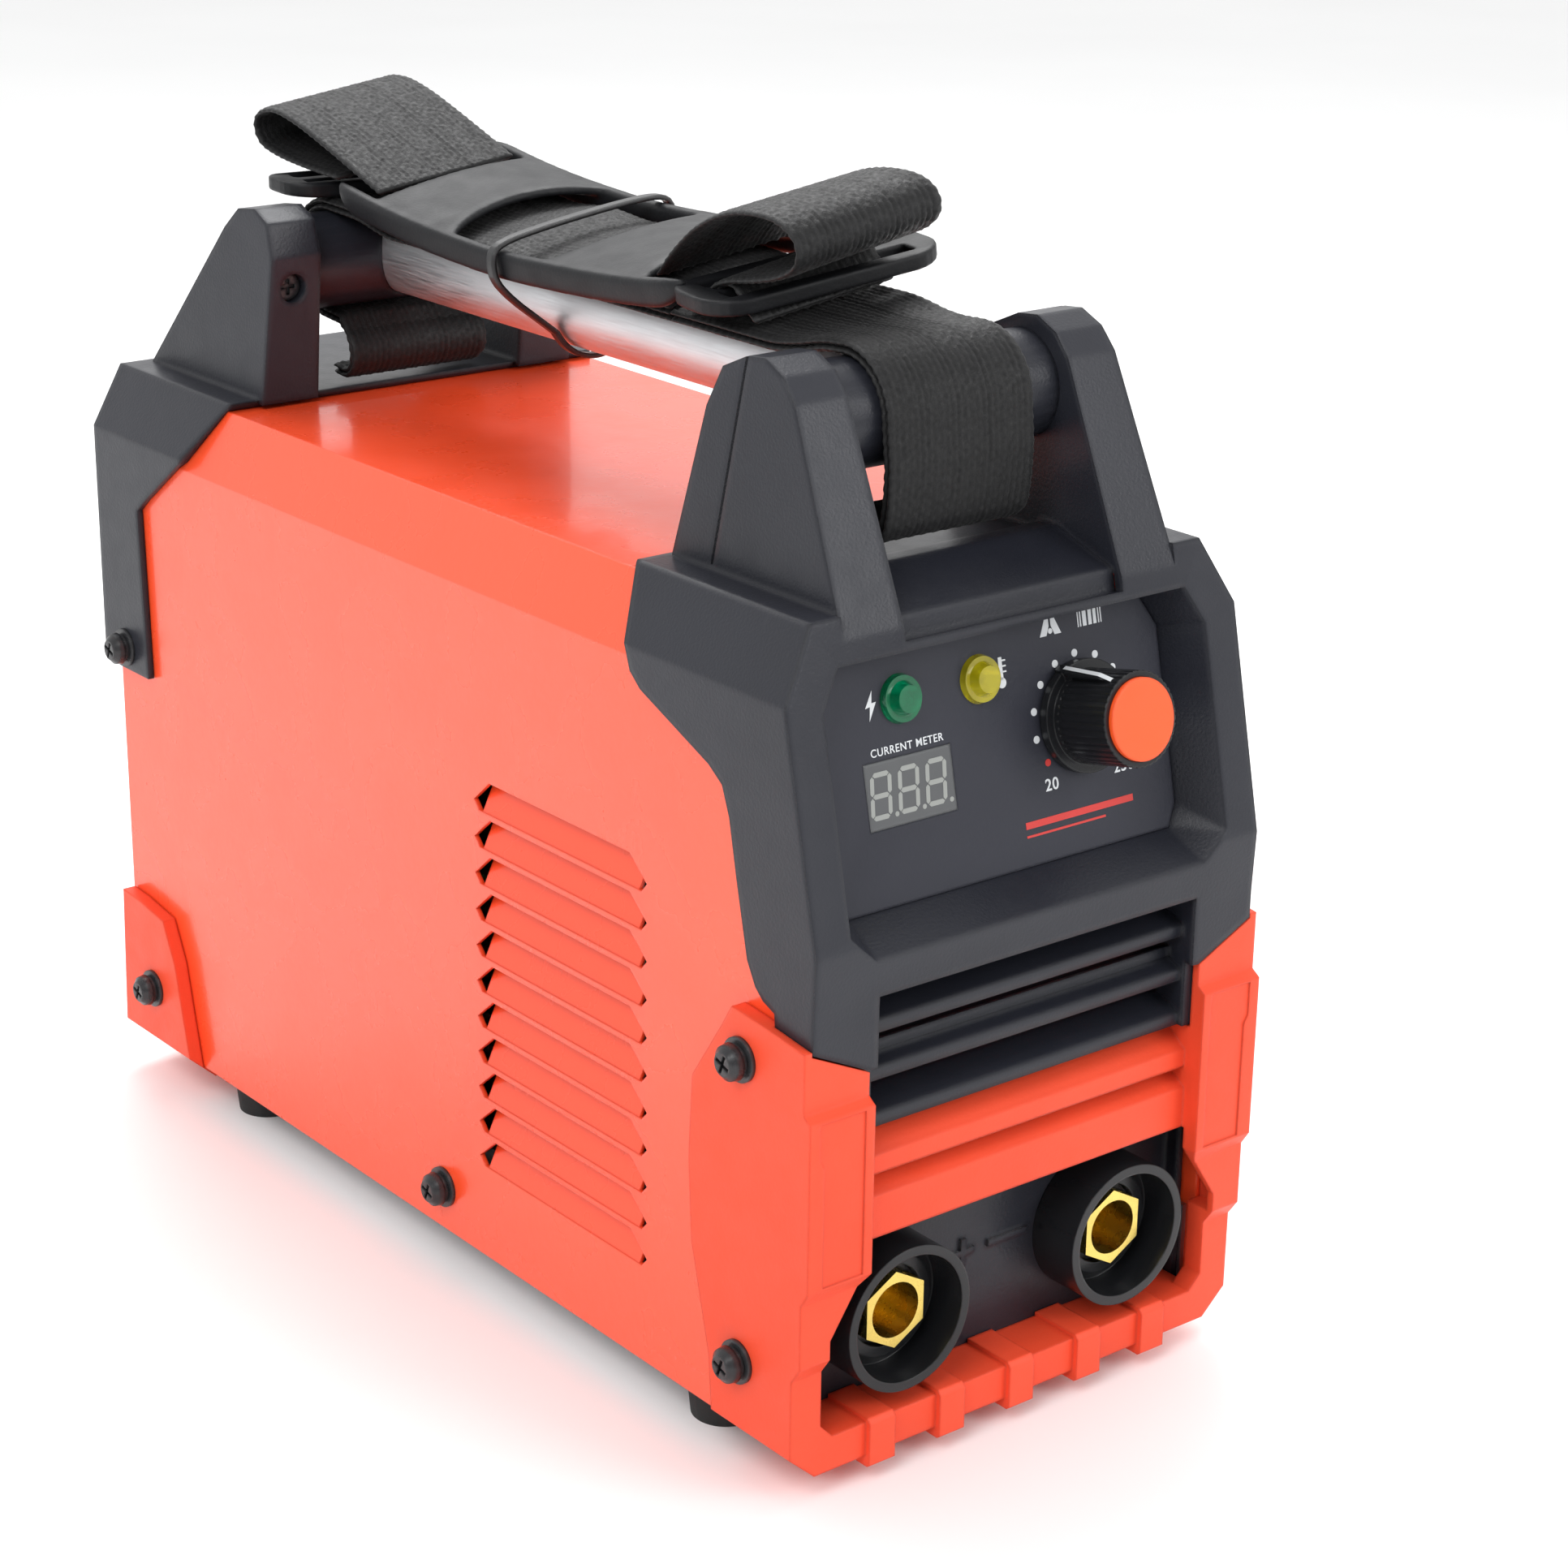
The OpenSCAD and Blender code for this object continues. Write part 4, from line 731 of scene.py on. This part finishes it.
# nylon tie round the tube and the pad
tie_lo, tie_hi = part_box("bundle_tie")
tie_y = (tie_lo.y + tie_hi.y) / 2
tie_r = TUBE_R + 0.0009
tie_turn = [math.radians(a) for a in range(205, 336, 13)]
tie_path = [(tie_r * math.cos(a), TUBE_Z + tie_r * math.sin(a)) for a in tie_turn]
for x, z in ((0.0259, LAY - 0.0002), (0.0262, LAY + 0.006), (0.0240, LAY + 0.0088),
             (0.010, LAY + 0.0095), (-0.010, LAY + 0.0095), (-0.0240, LAY + 0.0088),
             (-0.0262, LAY + 0.006), (-0.0259, LAY - 0.0002)):
    px, _, pz = rolled(x, 0, z)
    tie_path.append((px, pz))
ring = tie_path + [tie_path[0]]
ring, _ = resample(chaikin(ring, 2), 0.0012)
bm = bmesh.new()
loops = []
for i, (x, z) in enumerate(ring[:-1]):
    a, b = ring[i - 1 if i else len(ring) - 2], ring[i + 1]
    d = math.dist(a, b)
    nx, nz = (b[1] - a[1]) / d, -(b[0] - a[0]) / d
    y = tie_y + (z - LAY) * 0.12
    loops.append([bm.verts.new((x + nx * o, y + w, z + nz * o))
                  for w, o in ((-0.0013, 0), (0.0013, 0), (0.0016, 0.0006), (0.0011, 0.0012),
                               (-0.0011, 0.0012), (-0.0016, 0.0006))])
for i, a in enumerate(loops):
    b = loops[(i + 1) % len(loops)]
    for j in range(6):
        bm.faces.new((a[j], a[(j + 1) % 6], b[(j + 1) % 6], b[j]))
# the tie's head, on the far side between the tube and the pad
head = bmesh.ops.create_cube(bm, size=1.0, matrix=Matrix.Translation((0.0186, tie_y, TUBE_Z + 0.0028)) @
                             Matrix.Rotation(math.radians(-36), 4, "Y") @
                             Matrix.Diagonal((0.0052, 0.0042, 0.0036, 1)))
bmesh.ops.bevel(bm, geom=list({e for v in head["verts"] for e in v.link_edges}), offset=0.0006, segments=2,
                affect="EDGES")
bmesh.ops.recalc_face_normals(bm, faces=bm.faces)
me = bpy.data.meshes.new("tie_strip")
bm.to_mesh(me)
bm.free()
tie = piece("tie_strip", me, "tie_nylon")
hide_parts("bundle_tie")


# ---------------------------------------------------------------- stage, light, camera

def make_stage():
    me = bpy.data.meshes.new("floor")
    s = 6.0
    me.from_pydata([(-s, -s, 0), (s, -s, 0), (s, s, 0), (-s, s, 0)], [], [(0, 1, 2, 3)])
    ob = bpy.data.objects.new("floor", me)
    scene.collection.objects.link(ob)
    m = Mat("floor", (0.93, 0.93, 0.93), 0.5)
    m.colour(m.mix(m.ramp(m.noise(3.0), 0.3, 0.7), (0.92, 0.92, 0.92), (0.95, 0.95, 0.95)))
    me.materials.append(m.m)


def area(name, at, aim, size, power, size_y=None):
    li = bpy.data.lights.new(name, "AREA")
    li.energy = power
    li.size = size
    if size_y:
        li.shape = "RECTANGLE"
        li.size_y = size_y
    ob = bpy.data.objects.new(name, li)
    ob.location = at
    ob.rotation_mode = "QUATERNION"
    ob.rotation_quaternion = (Vector(aim) - Vector(at)).to_track_quat("-Z", "Y")
    scene.collection.objects.link(ob)
    return ob


make_stage()
world = bpy.data.worlds.new("studio")
world.use_nodes = True
world.node_tree.nodes["Background"].inputs["Color"].default_value = (1, 1, 1, 1)
scene.world = world


def dim_front():
    """White surroundings behind the machine, dimmer in front of it, as in a small studio."""
    nt = world.node_tree
    way = nt.nodes.new("ShaderNodeTexCoord")
    dot = nt.nodes.new("ShaderNodeVectorMath")
    dot.operation = "DOT_PRODUCT"
    dot.inputs[1].default_value = (-0.6, -0.75, 0.1)
    span = nt.nodes.new("ShaderNodeMapRange")
    for key, v in (("From Min", -0.1), ("From Max", 0.95), ("To Min", 1.05), ("To Max", 0.6)):
        span.inputs[key].default_value = v
    nt.links.new(way.outputs["Generated"], dot.inputs[0])
    nt.links.new(dot.outputs["Value"], span.inputs["Value"])
    nt.links.new(span.outputs["Result"], nt.nodes["Background"].inputs["Strength"])


dim_front()
scene.view_settings.view_transform = "Standard"
scene.view_settings.look = "None"

area("key", (-1.2, -0.7, 1.4), (0, 0, 0.1), 0.9, 15)
area("top", (0.35, 0.62, 1.2), (0, 0, 0.1), 0.8, 12)
area("front", (0.7, -1.5, 0.9), (0, 0, 0.1), 0.8, 11)

cam_data = bpy.data.cameras.new("camera")
cam = bpy.data.objects.new("camera", cam_data)
scene.collection.objects.link(cam)
scene.camera = cam
cam_data.sensor_width = 36
cam_data.lens = 78.02
cam_data.clip_start, cam_data.clip_end = 0.05, 20


def aim_camera():
    az, el, roll = (math.radians(x) for x in (-38.843, 19.782, 0.836))
    back = Vector((math.sin(az) * math.cos(el), -math.cos(az) * math.cos(el), math.sin(el)))
    right = Vector((0, 0, 1)).cross(back).normalized()
    up = back.cross(right)
    r2 = math.cos(roll) * right + math.sin(roll) * up
    u2 = -math.sin(roll) * right + math.cos(roll) * up
    m = Matrix((r2, u2, back)).transposed().to_4x4()
    # solved position, in metres, from the front guard's face
    m.translation = Vector((-0.4615, -0.4868 - 0.1498, 0.3844 + 0.0065))
    cam.matrix_world = m


aim_camera()
